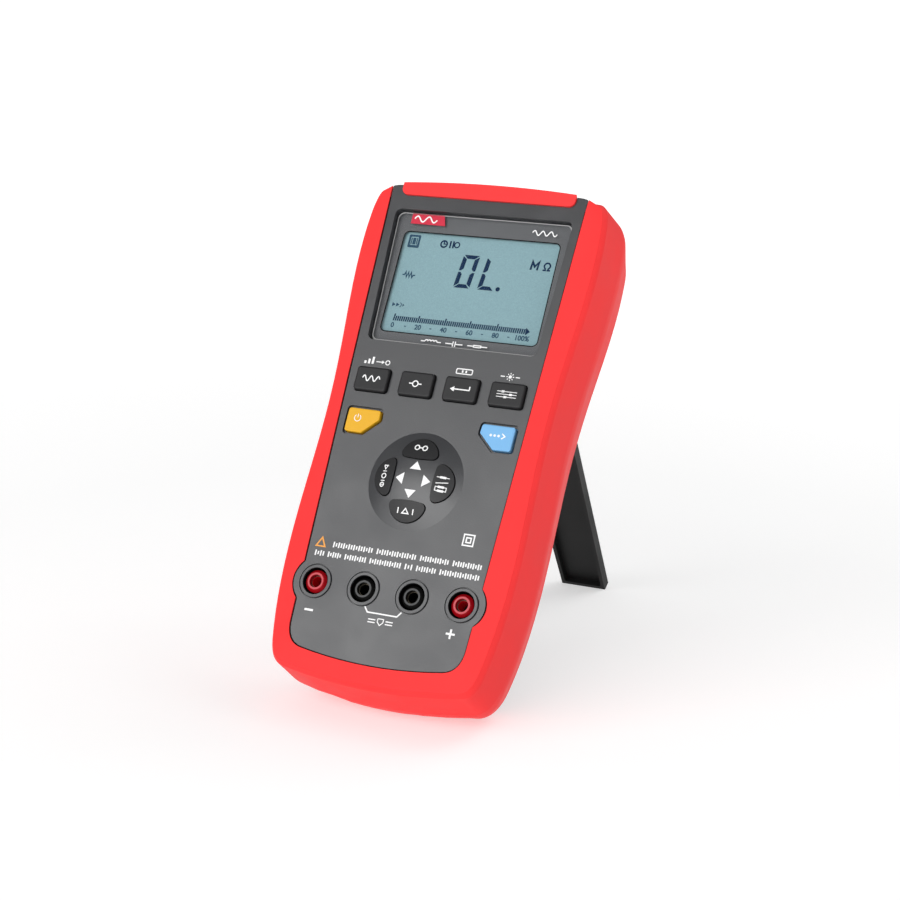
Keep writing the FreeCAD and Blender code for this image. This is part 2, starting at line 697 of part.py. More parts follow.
def stand():
    """Tray-shaped leg, drawn folded: the hinge is at the origin and the foot points down the back."""
    length, outer, inner = mm("stand_length"), mm("stand_outer"), mm("stand_inner")
    wide, narrow, cut = mm("stand_half_hinge"), mm("stand_half_foot"), mm("foot_chamfer")
    rim, foot_rim = mm("stand_rim"), mm("foot_rim")
    leg = plate([(-narrow, cut - length), (cut - narrow, -length), (narrow - cut, -length),
                 (narrow, cut - length), (wide, 0), (-wide, 0)], outer, inner)
    hollow = [(rim - narrow, foot_rim - length), (narrow - rim, foot_rim - length),
              (wide - rim, -mm("barrel_radius")), (rim - wide, -mm("barrel_radius"))]
    leg = leg.cut(plate(hollow, outer + mm("stand_plate"), inner + 1, 1))
    barrel = Part.makeCylinder(mm("barrel_radius"), 2 * mm("barrel_half"),
                               V(-mm("barrel_half"), 0, 0), V(1, 0, 0))
    bore = Part.makeCylinder(mm("pin_radius") + mm("pin_clearance"), 60, V(-30, 0, 0), V(1, 0, 0))
    return leg.fuse(barrel).cut(bore)


COMMON = FreeCAD.Placement(V(0, 0, 0), FreeCAD.Rotation(V(1, 0, 0), 90 - mm("lean_angle")))
HINGE = FreeCAD.Placement(V(0, mm("hinge_up"), mm("hinge_level")),
                          FreeCAD.Rotation(V(1, 0, 0), mm("stand_angle")))


def trimmed_stand():
    """The leg with the edge of its foot cut flat on the floor."""
    floor = below_floor()
    floor.Placement = HINGE.inverse().multiply(floor.Placement)
    return feature("tilt_stand", stand().cut(floor).removeSplitter())


front_case()
rear_case_and_door()
feature("rubber_boot", rubber_boot().cut(below_floor()).removeSplitter())
trimmed_stand()

# strip over the top edge
strip = plate(STRIP, -mm("strip_depth"), 5, mm("strip_corner")).common(top_end(-mm("strip_proud"), 10))
under_strip = mm("strip_wall") - mm("strip_proud") - FITTED_GAP
core = top_end(under_strip, 10)
core = core.common(Part.makeBox(200, 300, 60, V(-100, -150, -60 - under_strip)))
feature("top_strip", strip.cut(core).removeSplitter())

# ---------------------------------------------------------------- lens and display
prism("display_lens", [
    (-cell("lens_half_bottom"), cell("lens_bottom")), (cell("lens_half_bottom"), cell("lens_bottom")),
    (cell("lens_half_top"), cell("lens_top")), (-cell("lens_half_top"), cell("lens_top"))],
    cell("lens_level") - cell("lens_thick"), cell("lens_level"), cell("lens_corner") - 0.3)
glass_low = cell("glass_level") - cell("glass_thick")
block("lcd_glass", -cell("glass_half"), cell("glass_half"), cell("glass_bottom"), cell("glass_top"),
      glass_low, cell("glass_level"))
block("lcd_backlight", -cell("glass_half"), cell("glass_half"), cell("backlight_bottom"), cell("glass_top"),
      glass_low - 0.1 - cell("backlight_thick"), glass_low - 0.1)
block("zebra_strip", -cell("zebra_half"), cell("zebra_half"), cell("zebra_bottom"),
      cell("zebra_bottom") + cell("zebra_wide"), cell("board_level") + 0.05, glass_low - 0.05)

frame_body = new_body("lcd_frame")
frame_sketch = face_sketch(frame_body, cell("glass_level") - cell("frame_thick"))
outside = cell("glass_half") + cell("frame_wall")
draw_rectangle(frame_sketch, -outside, outside, cell("glass_bottom") - cell("frame_wall"),
               cell("glass_top") + cell("frame_wall"))
inside = cell("glass_half") + 0.2
draw_rectangle(frame_sketch, -inside, inside, cell("glass_bottom") - 0.2, cell("glass_top") + 0.2)
pad(frame_body, frame_sketch, cell("frame_thick"))

# ---------------------------------------------------------------- printed board and what sits on it
board = prism("main_board", [
    (-cell("board_half"), cell("board_bottom")), (cell("board_half"), cell("board_bottom")),
    (cell("board_half"), cell("board_top")), (-cell("board_half"), cell("board_top")),
    (-cell("board_half"), cell("tab_high")), (-cell("tab_half"), cell("tab_high")),
    (-cell("tab_half"), cell("tab_low")), (-cell("board_half"), cell("tab_low"))],
    cell("board_level") - cell("board_thick"), cell("board_level"))
holes = face_sketch(board, cell("board_level"))
for height in ("post_high", "post_low"):
    for sign in (-1, 1):
        draw_circle(holes, cell("post_x") * sign, cell(height), cell("board_screw_radius") + 0.2)
pocket(board, holes, cell("board_thick"))

board_back = cell("board_level") - cell("board_thick")
block("main_chip", -cell("chip_half"), cell("chip_half"), cell("chip_up") - cell("chip_half"),
      cell("chip_up") + cell("chip_half"), board_back - cell("chip_tall"), board_back)

buzzer = new_body("buzzer")
buzzer_sketch = face_sketch(buzzer, board_back - cell("buzzer_tall"))
draw_circle(buzzer_sketch, cell("buzzer_x"), cell("buzzer_up"), cell("buzzer_radius"))
pad(buzzer, buzzer_sketch, cell("buzzer_tall"))

CHIP_TALL = 1.3
# middle of each small chip, then its half width and half height
CHIP_PLACES = ((-22, 74, 3, 4), (-20, 48, 4, 3), (20, 50, 2.6, 4), (22, 30, 3, 3),
               (-24, -4, 3, 5), (-22, -24, 2.5, 4), (23, 4, 3, 4))
small_chips = []
for x, y, half_wide, half_high in CHIP_PLACES:
    small_chips.append(Part.makeBox(2 * half_wide, 2 * half_high, CHIP_TALL,
                                    V(x - half_wide, y - half_high, board_back.value - CHIP_TALL)))
feature("small_chips", Part.makeCompound(small_chips))

data_tall = mm("data_high") - mm("data_low")
data_socket = Part.makeBox(mm("data_in") - mm("data_out"), 2 * mm("data_half"), data_tall,
                           V(mm("data_out"), mm("data_up") - mm("data_half"), mm("data_low")))
data_socket = data_socket.cut(Part.makeBox(
    7, 2 * mm("data_half") - 1, data_tall - 1,
    V(mm("data_out") - 0.5, mm("data_up") - mm("data_half") + 0.5, mm("data_low") + 0.5)))
data_socket = data_socket.fuse(Part.makeBox(
    6.5, 2 * mm("data_half") - 3, 0.9,
    V(mm("data_out") + 1, mm("data_up") - mm("data_half") + 1.5, mm("data_low") + 1.6)))
feature("data_socket", data_socket)

# ---------------------------------------------------------------- keypad
block("keypad_membrane", -cell("membrane_half"), cell("membrane_half"), cell("membrane_bottom"),
      cell("membrane_top"), cell("membrane_level") - cell("membrane_thick"), cell("membrane_level"))


def pressed_key(label, corners, top, corner, edge):
    """A key cap with a flange under the face plate."""
    body = new_body(label)
    sketch = face_sketch(body, cell("key_base"))
    draw_polygon(sketch, corners)
    base = pad(body, sketch, as_size(top) - cell("key_base"))
    rounded = round_edges(body, base, corner, is_upright)
    round_edges(body, rounded, edge, is_at_level(as_size(top).value))
    flange = face_sketch(body, cell("flange_level") - cell("flange_thick"))
    plain = [(as_size(x).value, as_size(y).value) for x, y in corners]
    draw_polygon(flange, grown(plain, mm("flange_wide")))
    pad(body, flange, cell("flange_thick"))
    return body


for name, sign, alias in (("one", -1, "row_outer"), ("two", -1, "row_inner"), ("three", 1, "row_inner"),
                          ("four", 1, "row_outer")):
    middle = cell(alias) * sign
    left, right = middle - cell("row_key_half"), middle + cell("row_key_half")
    outline = [(left, cell("row_key_low")), (right, cell("row_key_low")),
               (right, cell("row_key_high")), (left, cell("row_key_high"))]
    pressed_key("row_key_" + name, outline, cell("row_key_top"), cell("row_key_round"),
                cell("row_key_edge"))
for label, outline in (("power_key", POWER_KEY), ("function_key", FUNCTION_KEY)):
    pressed_key(label, outline, cell("corner_key_top"), cell("corner_key_round"), cell("corner_key_edge"))

for name, angle in nav_turns().items():
    cap = nav_outline(0, mm("key_base"), 10)
    cap = cap.fuse(nav_outline(0.6, mm("flange_level") - mm("flange_thick"), mm("flange_level")))
    cap.Placement = nav_place(angle)
    cap = cap.common(dome(mm("nav_key_rise")))
    feature("nav_key_" + name, cap.removeSplitter())

# ---------------------------------------------------------------- measuring sockets
for name, position in SOCKETS.items():
    x = cell("socket_pitch") * position
    body = new_body("socket_body_" + name)
    base = face_sketch(body, -cell("socket_depth"))
    draw_circle(base, x, cell("socket_up"), cell("core_base_radius"))
    pad(body, base, cell("socket_depth") + cell("core_base_level"))
    core = face_sketch(body, cell("core_base_level"))
    draw_circle(core, x, cell("socket_up"), cell("core_radius"))
    raised = pad(body, core, cell("core_top") - cell("core_base_level"))
    chamfer = body.newObject("PartDesign::Chamfer", body.Label + "_chamfer")
    rim = ["Edge%d" % (index + 1) for index, edge in enumerate(raised.Shape.Edges)
           if is_at_level(mm("core_top"))(edge)]
    chamfer.Base = (raised, rim)
    chamfer.setExpression("Size", "Sizes.core_chamfer")
    doc.recompute()
    tube = face_sketch(body, cell("core_top"))
    draw_circle(tube, x, cell("socket_up"), cell("tube_bore"))
    pocket(body, tube, cell("socket_depth") + cell("core_top"))

    contact = new_body("socket_contact_" + name)
    sketch = face_sketch(contact, cell("contact_bottom"))
    draw_circle(sketch, x, cell("socket_up"), cell("contact_radius"))
    pad(contact, sketch, cell("contact_top") - cell("contact_bottom"))
    bore = face_sketch(contact, cell("contact_top"))
    draw_circle(bore, x, cell("socket_up"), cell("contact_bore"))
    pocket(contact, bore, cell("contact_top") - cell("contact_bottom") - 1.5)
    tail = face_sketch(contact, cell("contact_end"))
    draw_circle(tail, x, cell("socket_up"), cell("contact_tail"))
    pad(contact, tail, cell("contact_bottom") - cell("contact_end") + 0.5)

# ---------------------------------------------------------------- battery
block("battery", -cell("battery_half"), cell("battery_half"), cell("battery_low"), cell("battery_high"),
      cell("battery_back"), cell("battery_front"), 2)
block("battery_clip", -cell("battery_half") + 1, cell("battery_half") - 1, cell("battery_high") + 0.1,
      cell("battery_high") + 0.1 + cell("clip_thick"), cell("battery_back") + 1.5,
      cell("battery_front") - 1.5, 1)

# ---------------------------------------------------------------- fasteners
def screw(x, y, radius, head_radius, tip, seat, head_tall):
    """A pan-head screw driven from the back towards the face, with a cross recess."""
    shank = peg(x, y, radius, seat - 0.2, tip)
    head = peg(x, y, head_radius, seat - head_tall, seat)
    rim = [edge for edge in head.Edges if is_at_level(seat - head_tall)(edge)]
    head = head.makeFillet(head_tall * 0.4, rim)
    item = shank.fuse(head)
    for long_way, short_way in ((head_radius * 1.2, 0.5), (0.5, head_radius * 1.2)):
        item = item.cut(Part.makeBox(long_way, short_way, head_tall * 0.6,
                                     V(x - long_way / 2, y - short_way / 2, seat - head_tall - 0.01)))
    return item


feature("case_screws", Part.makeCompound([
    screw(x, y, mm("case_screw_radius"), mm("case_head_radius"), mm("case_screw_tip"),
          mm("case_head_level"), 2) for x, y in BOSSES]))
feature("board_screws", Part.makeCompound([
    screw(x, y, mm("board_screw_radius"), 2, -5, board_back.value, 1.4) for x, y in POSTS]))
feature("door_screw", screw(0, mm("door_screw_up"), 1.2, 2.2, -24.5, mm("channel_floor") - 0.02, 1.4))

pin_length = 2 * mm("pin_half")
feature("hinge_pin", Part.makeCylinder(mm("pin_radius"), pin_length,
                                       V(-mm("pin_half"), mm("hinge_up"), mm("hinge_level")), V(1, 0, 0)))

# ---------------------------------------------------------------- stance: lean everything back and centre it
doc.recompute()
depths = []
for label in ("rubber_boot", "front_case", "rear_case", "top_strip", "tilt_stand"):
    place = COMMON.multiply(HINGE) if label == "tilt_stand" else COMMON
    shape = nodes[label].Shape.copy()
    shape.Placement = place.multiply(shape.Placement)
    points, _ = shape.tessellate(MESH_FINENESS)
    depths.extend(point.y for point in points)
middle_depth = (min(depths) + max(depths)) / 2
shift = FreeCAD.Placement(V(0, -middle_depth, -mm("floor_level")), FreeCAD.Rotation())
for label, item in nodes.items():
    place = COMMON.multiply(HINGE) if label == "tilt_stand" else COMMON
    item.Placement = shift.multiply(place).multiply(item.Placement)
doc.recompute()

for item in doc.Objects:
    if {"Invalid", "Error"} & set(item.State):
        raise RuntimeError("%s is in state %s" % (item.Label, item.State))
for label, item in nodes.items():
    shape = item.Shape
    if shape.isNull() or not shape.isValid() or not shape.Solids:
        raise RuntimeError(label + ": no valid solid")
    shape.exportStep(os.path.join("parts", label + ".step"))
print("pieces:", len(nodes), "shift:", shift.Base)
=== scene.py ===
"""Looks of a handheld LCR meter standing on its opened tilt stand.

Small features are laid out in millimetres in the meter's face frame: x to the right, y up the face,
z out of the face, with the grey face plate at z = 0. place() turns such a point into the row frame.
"""
import json
import math

import bmesh
import bpy
from mathutils import Matrix, Vector
from mathutils.bvhtree import BVHTree


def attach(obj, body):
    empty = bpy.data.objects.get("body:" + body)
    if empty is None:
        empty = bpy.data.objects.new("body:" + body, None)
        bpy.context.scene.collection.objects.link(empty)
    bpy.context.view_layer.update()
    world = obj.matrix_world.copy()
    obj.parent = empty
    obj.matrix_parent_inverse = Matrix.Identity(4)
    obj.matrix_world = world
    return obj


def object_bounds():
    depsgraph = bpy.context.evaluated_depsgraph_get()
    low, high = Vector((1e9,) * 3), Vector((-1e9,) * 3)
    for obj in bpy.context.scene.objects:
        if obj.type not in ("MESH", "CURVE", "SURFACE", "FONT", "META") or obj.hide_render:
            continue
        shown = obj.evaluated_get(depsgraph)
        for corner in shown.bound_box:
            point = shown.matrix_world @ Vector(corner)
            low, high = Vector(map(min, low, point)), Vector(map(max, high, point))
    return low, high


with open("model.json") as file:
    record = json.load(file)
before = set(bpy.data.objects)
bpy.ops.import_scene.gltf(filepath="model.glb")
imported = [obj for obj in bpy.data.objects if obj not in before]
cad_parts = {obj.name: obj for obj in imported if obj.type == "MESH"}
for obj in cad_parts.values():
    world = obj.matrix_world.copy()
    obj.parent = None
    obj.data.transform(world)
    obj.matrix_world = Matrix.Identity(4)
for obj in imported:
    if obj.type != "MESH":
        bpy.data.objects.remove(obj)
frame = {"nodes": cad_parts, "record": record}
CAD_BOX = [list(corner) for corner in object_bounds()]
NODES = frame["nodes"]
MM = 0.001

# ---------------------------------------------------------------- the face frame, read from the sockets
SOCKET_NAMES = ("one", "two", "three", "four")
SOCKET_UP = -57.16
MOUNT_DEPTH = -8.0


def face_matrix():
    """Millimetres in the face frame to metres in the row frame."""
    mounts = {mount["name"]: mount for mount in frame["record"]["mounts"]}
    row = [Vector(mounts["socket_" + name]["pos_m"]) for name in SOCKET_NAMES]
    out = Vector(mounts["socket_one"]["axis"]).normalized()
    right = (row[3] - row[0]).normalized()
    up = out.cross(right)
    middle = sum(row, Vector()) / len(row)
    origin = middle - (up * SOCKET_UP + out * MOUNT_DEPTH) * MM
    turn = Matrix((right, up, out)).transposed().to_4x4()
    return Matrix.Translation(origin) @ turn @ Matrix.Scale(MM, 4)


FACE = face_matrix()
UNFACE = FACE.inverted()
OUTWARD = (FACE.to_3x3() @ Vector((0, 0, 1))).normalized()


def place(x, y, z=0.0):
    """A point of the face frame, in millimetres, as a point of the row frame, in metres."""
    return FACE @ Vector((x, y, z))


def face_box(node):
    """Lowest and highest corner of a node, in millimetres in the face frame."""
    item = NODES[node]
    points = [UNFACE @ item.matrix_world @ vertex.co for vertex in item.data.vertices]
    low = Vector([min(point[axis] for point in points) for axis in range(3)])
    high = Vector([max(point[axis] for point in points) for axis in range(3)])
    return low, high


# ---------------------------------------------------------------- materials
def new_material(name):
    material = bpy.data.materials.new(name)
    material.use_nodes = True
    nodes = material.node_tree.nodes
    nodes.clear()
    output = nodes.new("ShaderNodeOutputMaterial")
    shader = nodes.new("ShaderNodeBsdfPrincipled")
    material.node_tree.links.new(shader.outputs["BSDF"], output.inputs["Surface"])
    return material, nodes, material.node_tree.links, shader


def noise(nodes, links, size, detail=3.0, roughness=0.55):
    """Noise whose features are about size metres across, fixed to the object."""
    coordinates = nodes.new("ShaderNodeTexCoord")
    texture = nodes.new("ShaderNodeTexNoise")
    texture.inputs["Scale"].default_value = 1.0 / size
    texture.inputs["Detail"].default_value = detail
    texture.inputs["Roughness"].default_value = roughness
    links.new(coordinates.outputs["Object"], texture.inputs["Vector"])
    return texture.outputs["Fac"]


def spread(nodes, links, source, low, high, start=0.3, end=0.7):
    """Stretch a value's middle range to run from low to high."""
    remap = nodes.new("ShaderNodeMapRange")
    remap.inputs["From Min"].default_value = start
    remap.inputs["From Max"].default_value = end
    remap.inputs["To Min"].default_value = low
    remap.inputs["To Max"].default_value = high
    links.new(source, remap.inputs["Value"])
    return remap.outputs["Result"]


def shade(colour, factor):
    """A colour made darker or lighter, with the fourth channel that sockets ask for."""
    return tuple(min(1.0, channel * factor) for channel in colour) + (1.0,)


def mottled_colour(nodes, links, source, colour, amount):
    """The colour, a little darker and lighter by turns."""
    mix = nodes.new("ShaderNodeMix")
    mix.data_type = "RGBA"
    mix.inputs["A"].default_value = shade(colour, 1 - amount)
    mix.inputs["B"].default_value = shade(colour, 1 + amount)
    links.new(source, mix.inputs["Factor"])
    return mix.outputs["Result"]


def grain_bump(nodes, links, height, strength, distance):
    """Turn a height into small dents; distance is their depth in metres."""
    bump = nodes.new("ShaderNodeBump")
    bump.inputs["Strength"].default_value = strength
    bump.inputs["Distance"].default_value = distance
    links.new(height, bump.inputs["Height"])
    return bump.outputs["Normal"]


def moulded(name, colour, roughness, grain=0.0003, bump=0.12, mottle=0.06, specular=0.3):
    """Injection-moulded plastic or rubber: fine spark-eroded grain, soft handling marks in the gloss."""
    material, nodes, links, shader = new_material(name)
    fine = noise(nodes, links, grain, 2.0)
    broad = noise(nodes, links, 0.018, 4.0)
    colour_value = spread(nodes, links, broad, 0.0, 1.0)
    links.new(mottled_colour(nodes, links, colour_value, colour, mottle), shader.inputs["Base Color"])
    gloss = spread(nodes, links, broad, roughness - 0.06, roughness + 0.06)
    links.new(gloss, shader.inputs["Roughness"])
    links.new(grain_bump(nodes, links, fine, bump, grain * 0.25), shader.inputs["Normal"])
    shader.inputs["Specular IOR Level"].default_value = specular
    return material


def metal(name, colour, roughness):
    """Plated or machined metal with fine turning marks."""
    material, nodes, links, shader = new_material(name)
    fine = noise(nodes, links, 0.0003, 3.0)
    broad = noise(nodes, links, 0.004, 4.0)
    colour_value = spread(nodes, links, broad, 0.0, 1.0)
    links.new(mottled_colour(nodes, links, colour_value, colour, 0.12), shader.inputs["Base Color"])
    links.new(spread(nodes, links, broad, roughness - 0.08, roughness + 0.1), shader.inputs["Roughness"])
    links.new(grain_bump(nodes, links, fine, 0.15, 0.00005), shader.inputs["Normal"])
    shader.inputs["Metallic"].default_value = 1.0
    return material


def clear_lens(name):
    """Hard-coated acrylic: nearly invisible but for its gloss."""
    material, nodes, links, shader = new_material(name)
    broad = noise(nodes, links, 0.02, 3.0)
    shader.inputs["Base Color"].default_value = (0.2, 0.24, 0.25, 1)
    links.new(spread(nodes, links, broad, 0.03, 0.07), shader.inputs["Roughness"])
    shader.inputs["Alpha"].default_value = 0.02
    shader.inputs["Specular IOR Level"].default_value = 0.2
    return material


def printed(name, colour, roughness=0.5, specular=0.3):
    """Pad-printed ink with slightly uneven cover."""
    material, nodes, links, shader = new_material(name)
    speck = noise(nodes, links, 0.0006, 3.0)
    value = spread(nodes, links, speck, 0.0, 1.0)
    links.new(mottled_colour(nodes, links, value, colour, 0.07), shader.inputs["Base Color"])
    links.new(spread(nodes, links, speck, roughness - 0.05, roughness + 0.05), shader.inputs["Roughness"])
    shader.inputs["Specular IOR Level"].default_value = specular
    return material


def circuit_board(name):
    """Green solder resist with faint copper tracks under it."""
    material, nodes, links, shader = new_material(name)
    coordinates = nodes.new("ShaderNodeTexCoord")
    tracks = nodes.new("ShaderNodeTexBrick")
    tracks.inputs["Scale"].default_value = 260
    tracks.inputs["Mortar Size"].default_value = 0.03
    tracks.inputs["Color1"].default_value = (0.012, 0.13, 0.05, 1)
    tracks.inputs["Color2"].default_value = (0.015, 0.16, 0.06, 1)
    tracks.inputs["Mortar"].default_value = (0.03, 0.28, 0.10, 1)
    links.new(coordinates.outputs["Object"], tracks.inputs["Vector"])
    links.new(tracks.outputs["Color"], shader.inputs["Base Color"])
    broad = noise(nodes, links, 0.01)
    links.new(spread(nodes, links, broad, 0.25, 0.4), shader.inputs["Roughness"])
    return material


RED = (0.85, 0.042, 0.043)
GREY = (0.020, 0.021, 0.024)
MATERIALS = {
    "boot": moulded("red_bumper", RED, 0.45, grain=0.00035, bump=0.16, mottle=0.03, specular=0.05),
    "strip": moulded("red_strip", RED, 0.4, mottle=0.03, specular=0.15),
    "case": moulded("grey_case", GREY, 0.34, grain=0.00045, bump=0.25, mottle=0.12, specular=0.8),
    "rear": moulded("dark_case", (0.045, 0.046, 0.050), 0.5, grain=0.0005, bump=0.35, specular=0.5),
    "stand": moulded("black_stand", (0.010, 0.010, 0.010), 0.5, grain=0.0005, bump=0.3, specular=0.2),
    "key": moulded("dark_key", (0.010, 0.010, 0.011), 0.42, specular=0.34),
    "yellow": moulded("yellow_key", (0.68, 0.36, 0.010), 0.4, mottle=0.03),
    "blue": moulded("blue_key", (0.165, 0.40, 0.68), 0.4, mottle=0.03),
    "black": moulded("black_socket", (0.004, 0.004, 0.004), 0.45, bump=0.15, specular=0.12),
    "red_socket": moulded("red_socket", (0.30, 0.002, 0.006), 0.35, bump=0.1, specular=0.12),
    # lighter red than red_socket: the red plastic's own colour, with painted light added for the inside of
    # the socket holes
    "red_sleeve": moulded("socket_sleeve_red", (0.55, 0.003, 0.012), 0.5, bump=0.05, specular=0.1),
    # lighter copies of the socket colours: painted highlights on the lit top edge of each socket core
    "red_top_highlight": moulded("socket_highlight_red", (0.48, 0.055, 0.070), 0.35, bump=0.1),
    "grey_top_highlight": moulded("socket_highlight_grey", (0.05, 0.051, 0.052), 0.4, bump=0.1),
    "membrane": moulded("keypad_rubber", (0.25, 0.25, 0.26), 0.6, grain=0.0005, bump=0.25),
    "zebra": moulded("zebra_rubber", (0.5, 0.5, 0.52), 0.6, grain=0.0005, bump=0.25),
    "chip": moulded("chip_resin", (0.02, 0.02, 0.022), 0.55, grain=0.0002, bump=0.25),
    "backlight": moulded("milky_guide", (0.78, 0.82, 0.84), 0.35, grain=0.0006, bump=0.1),
    "jacket": moulded("battery_jacket", (0.05, 0.06, 0.09), 0.3, grain=0.001, bump=0.05),
    "steel": metal("plated_steel", (0.56, 0.56, 0.57), 0.32),
    "brass": metal("plated_contact", (0.07, 0.06, 0.045), 0.4),
    "board": circuit_board("green_board"),
    "lens": clear_lens("clear_lens"),
    "mask": moulded("lens_border", (0.100, 0.102, 0.108), 0.5, grain=0.0005, bump=0.01, specular=0.3),
    "lcd": printed("lcd_ground", (0.215, 0.345, 0.38), 0.5, 0.1),
    "segment": printed("lcd_segment", (0.004, 0.020, 0.060), 0.5, 0.05),
    "faint": printed("lcd_faint_segment", (0.026, 0.065, 0.11), 0.5, 0.05),
    "white": printed("white_print", (0.82, 0.82, 0.82), 0.5),
    "orange": printed("orange_print", (0.75, 0.32, 0.06), 0.5),
    "patch": printed("red_print", (0.55, 0.02, 0.05), 0.4),
    # pale grey of the lens's edge: a painted highlight where the polished edge catches the light
    "glint": moulded("painted_lens_glint", (0.30, 0.30, 0.30), 0.3, grain=0.0005, bump=0.05, specular=0.5),
    # near-black used as painted shade: the plate's edge gap, the socket bores, the window's edge and the
    # black sockets' sleeves
    "gap": moulded("shadow_gap", (0.002, 0.002, 0.002), 0.7, grain=0.0005, bump=0.05, specular=0.05),
}

NODE_MATERIALS = {
    "rubber_boot": "boot", "top_strip": "strip", "front_case": "case", "rear_case": "rear",
    "battery_door": "rear", "tilt_stand": "stand", "display_lens": "lens", "lcd_glass": "lcd",
    "lcd_backlight": "backlight", "lcd_frame": "black", "zebra_strip": "zebra", "main_board": "board",
    "main_chip": "chip", "small_chips": "chip", "data_socket": "chip", "keypad_membrane": "membrane",
    "buzzer": "black", "battery": "jacket", "battery_clip": "black", "board_screws": "steel",
    "case_screws": "steel", "door_screw": "steel", "hinge_pin": "steel", "power_key": "yellow",
    "function_key": "blue", "socket_body_one": "red_socket", "socket_body_two": "black",
    "socket_body_three": "black", "socket_body_four": "red_socket",
}
for label in SOCKET_NAMES:
    NODE_MATERIALS["row_key_" + label] = "key"
    NODE_MATERIALS["socket_contact_" + label] = "brass"
for way in ("up", "left", "down", "right"):
    NODE_MATERIALS["nav_key_" + way] = "key"


def paint(item, name):
    """Give a CAD piece its one material."""
    item.data.materials.clear()
    item.data.materials.append(MATERIALS[name])


for label, name in NODE_MATERIALS.items():
    paint(NODES[label], name)


# ---------------------------------------------------------------- flat prints laid on a surface
INK = 0.04  # how far a print's top stands above its surface
INK_SUNK = 0.9  # how thick a print is, as a share of INK
RAY_START = 12.0  # the height from which rays come down on the face
SIGN_STROKE = 0.42  # line width of most signs


def surface_height(node):
    """A function that gives the height of a node's surface over a point of the face, in millimetres."""
    tree = BVHTree.FromObject(NODES[node], bpy.context.evaluated_depsgraph_get())

    def height(x, y):
        hit = tree.ray_cast(place(x, y, RAY_START), -OUTWARD)[0]
        return (UNFACE @ hit).z if hit else 0.0
    return height


def level(z):
    """The same height everywhere, for prints on a flat piece."""
    return lambda x, y: z


def circle(x, y, radius, start=0, end=360, steps=28):
    """Points along an arc, both ends included."""
    points = []
    for index in range(steps + 1):
        angle = math.radians(start + (end - start) * index / steps)
        points.append((x + radius * math.cos(angle), y + radius * math.sin(angle)))
    return points


def rectangle(x, y, half_wide, half_high):
    """A rectangle's corners about its middle, listed anticlockwise."""
    return [(x - half_wide, y - half_high), (x + half_wide, y - half_high),
            (x + half_wide, y + half_high), (x - half_wide, y + half_high)]


def rounded(corners, radius, steps=6):
    """A four-cornered outline, listed anticlockwise, with its corners rounded."""
    points = []
    count = len(corners)
    for index, corner in enumerate(corners):
        here = Vector(corner)
        before = (Vector(corners[index - 1]) - here).normalized()
        after = (Vector(corners[(index + 1) % count]) - here).normalized()
        half = before.angle(after) / 2
        centre = here + (before + after).normalized() * radius / math.sin(half)
        first = here + before * radius / math.tan(half) - centre
        last = here + after * radius / math.tan(half) - centre
        for step in range(steps + 1):
            ray = first.lerp(last, step / steps).normalized() * radius
            points.append(tuple(centre + ray))
    return points


class Print:
    """Ink shapes collected into one thin closed mesh.

    height gives the surface's height over a point of the face; lift raises the ink above it.
    """

    def __init__(self, height, lift=0.0):
        self.height = height
        self.lift = lift
        self.mesh = bmesh.new()

    def corner(self, x, y):
        return self.mesh.verts.new(place(x, y, self.height(x, y) + self.lift + INK))

    def patch(self, points):
        """A filled outline, listed anticlockwise."""
        self.mesh.faces.new([self.corner(x, y) for x, y in points])

    def band(self, outer, inner):
        """The strip between two closed outlines that have as many points as each other."""
        outside = [self.corner(x, y) for x, y in outer]
        inside = [self.corner(x, y) for x, y in inner]
        for index in range(len(outside)):
            after = (index + 1) % len(outside)
            self.mesh.faces.new((outside[index], outside[after], inside[after], inside[index]))

    def ribbon(self, points, width):
        """A line of even width with mitred corners."""
        points = [Vector(point) for point in points]
        rims = []
        for index, here in enumerate(points):
            ways = []
            if index:
                ways.append((here - points[index - 1]).normalized())
            if index < len(points) - 1:
                ways.append((points[index + 1] - here).normalized())
            way = sum(ways, Vector((0, 0))).normalized()
            side = Vector((-way.y, way.x))
            reach = width / 2 / max(0.35, side.dot(Vector((-ways[0].y, ways[0].x))))
            rims.append((self.corner(*(here + side * reach)), self.corner(*(here - side * reach))))
        for left, right in zip(rims, rims[1:]):
            self.mesh.faces.new((left[1], right[1], right[0], left[0]))

    def loop(self, x, y, radius, width, steps=28):
        """A closed round line."""
        self.band(circle(x, y, radius + width / 2, 0, 360, steps)[:-1],
                  circle(x, y, radius - width / 2, 0, 360, steps)[:-1])

    def disc(self, x, y, radius):
        """A filled circle."""
        self.patch(circle(x, y, radius, 0, 360, 20)[:-1])

    def bar(self, x, y, half_wide, half_high):
        """A filled rectangle about its middle."""
        self.patch(rectangle(x, y, half_wide, half_high))

    def finish(self, name, material, body):
        """Give the ink its thickness and make it a piece on a body."""
        grown = bmesh.ops.extrude_face_region(self.mesh, geom=list(self.mesh.faces))
        lower = [item for item in grown["geom"] if isinstance(item, bmesh.types.BMVert)]
        bmesh.ops.translate(self.mesh, verts=lower, vec=-OUTWARD * INK * INK_SUNK * MM)
        bmesh.ops.recalc_face_normals(self.mesh, faces=list(self.mesh.faces))
        data = bpy.data.meshes.new(name)
        self.mesh.to_mesh(data)
        self.mesh.free()
        return add_piece(name, data, material, body)


def add_piece(name, data, material, body):
    """Make a mesh a visible piece that rides on a body."""
    data.materials.clear()
    data.materials.append(MATERIALS[material])
    piece = bpy.data.objects.new(name, data)
    bpy.context.scene.collection.objects.link(piece)
    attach(piece, body)
    return piece


FIGURE_WEIGHT = 0.07
CAPITAL_SHARE = 0.72


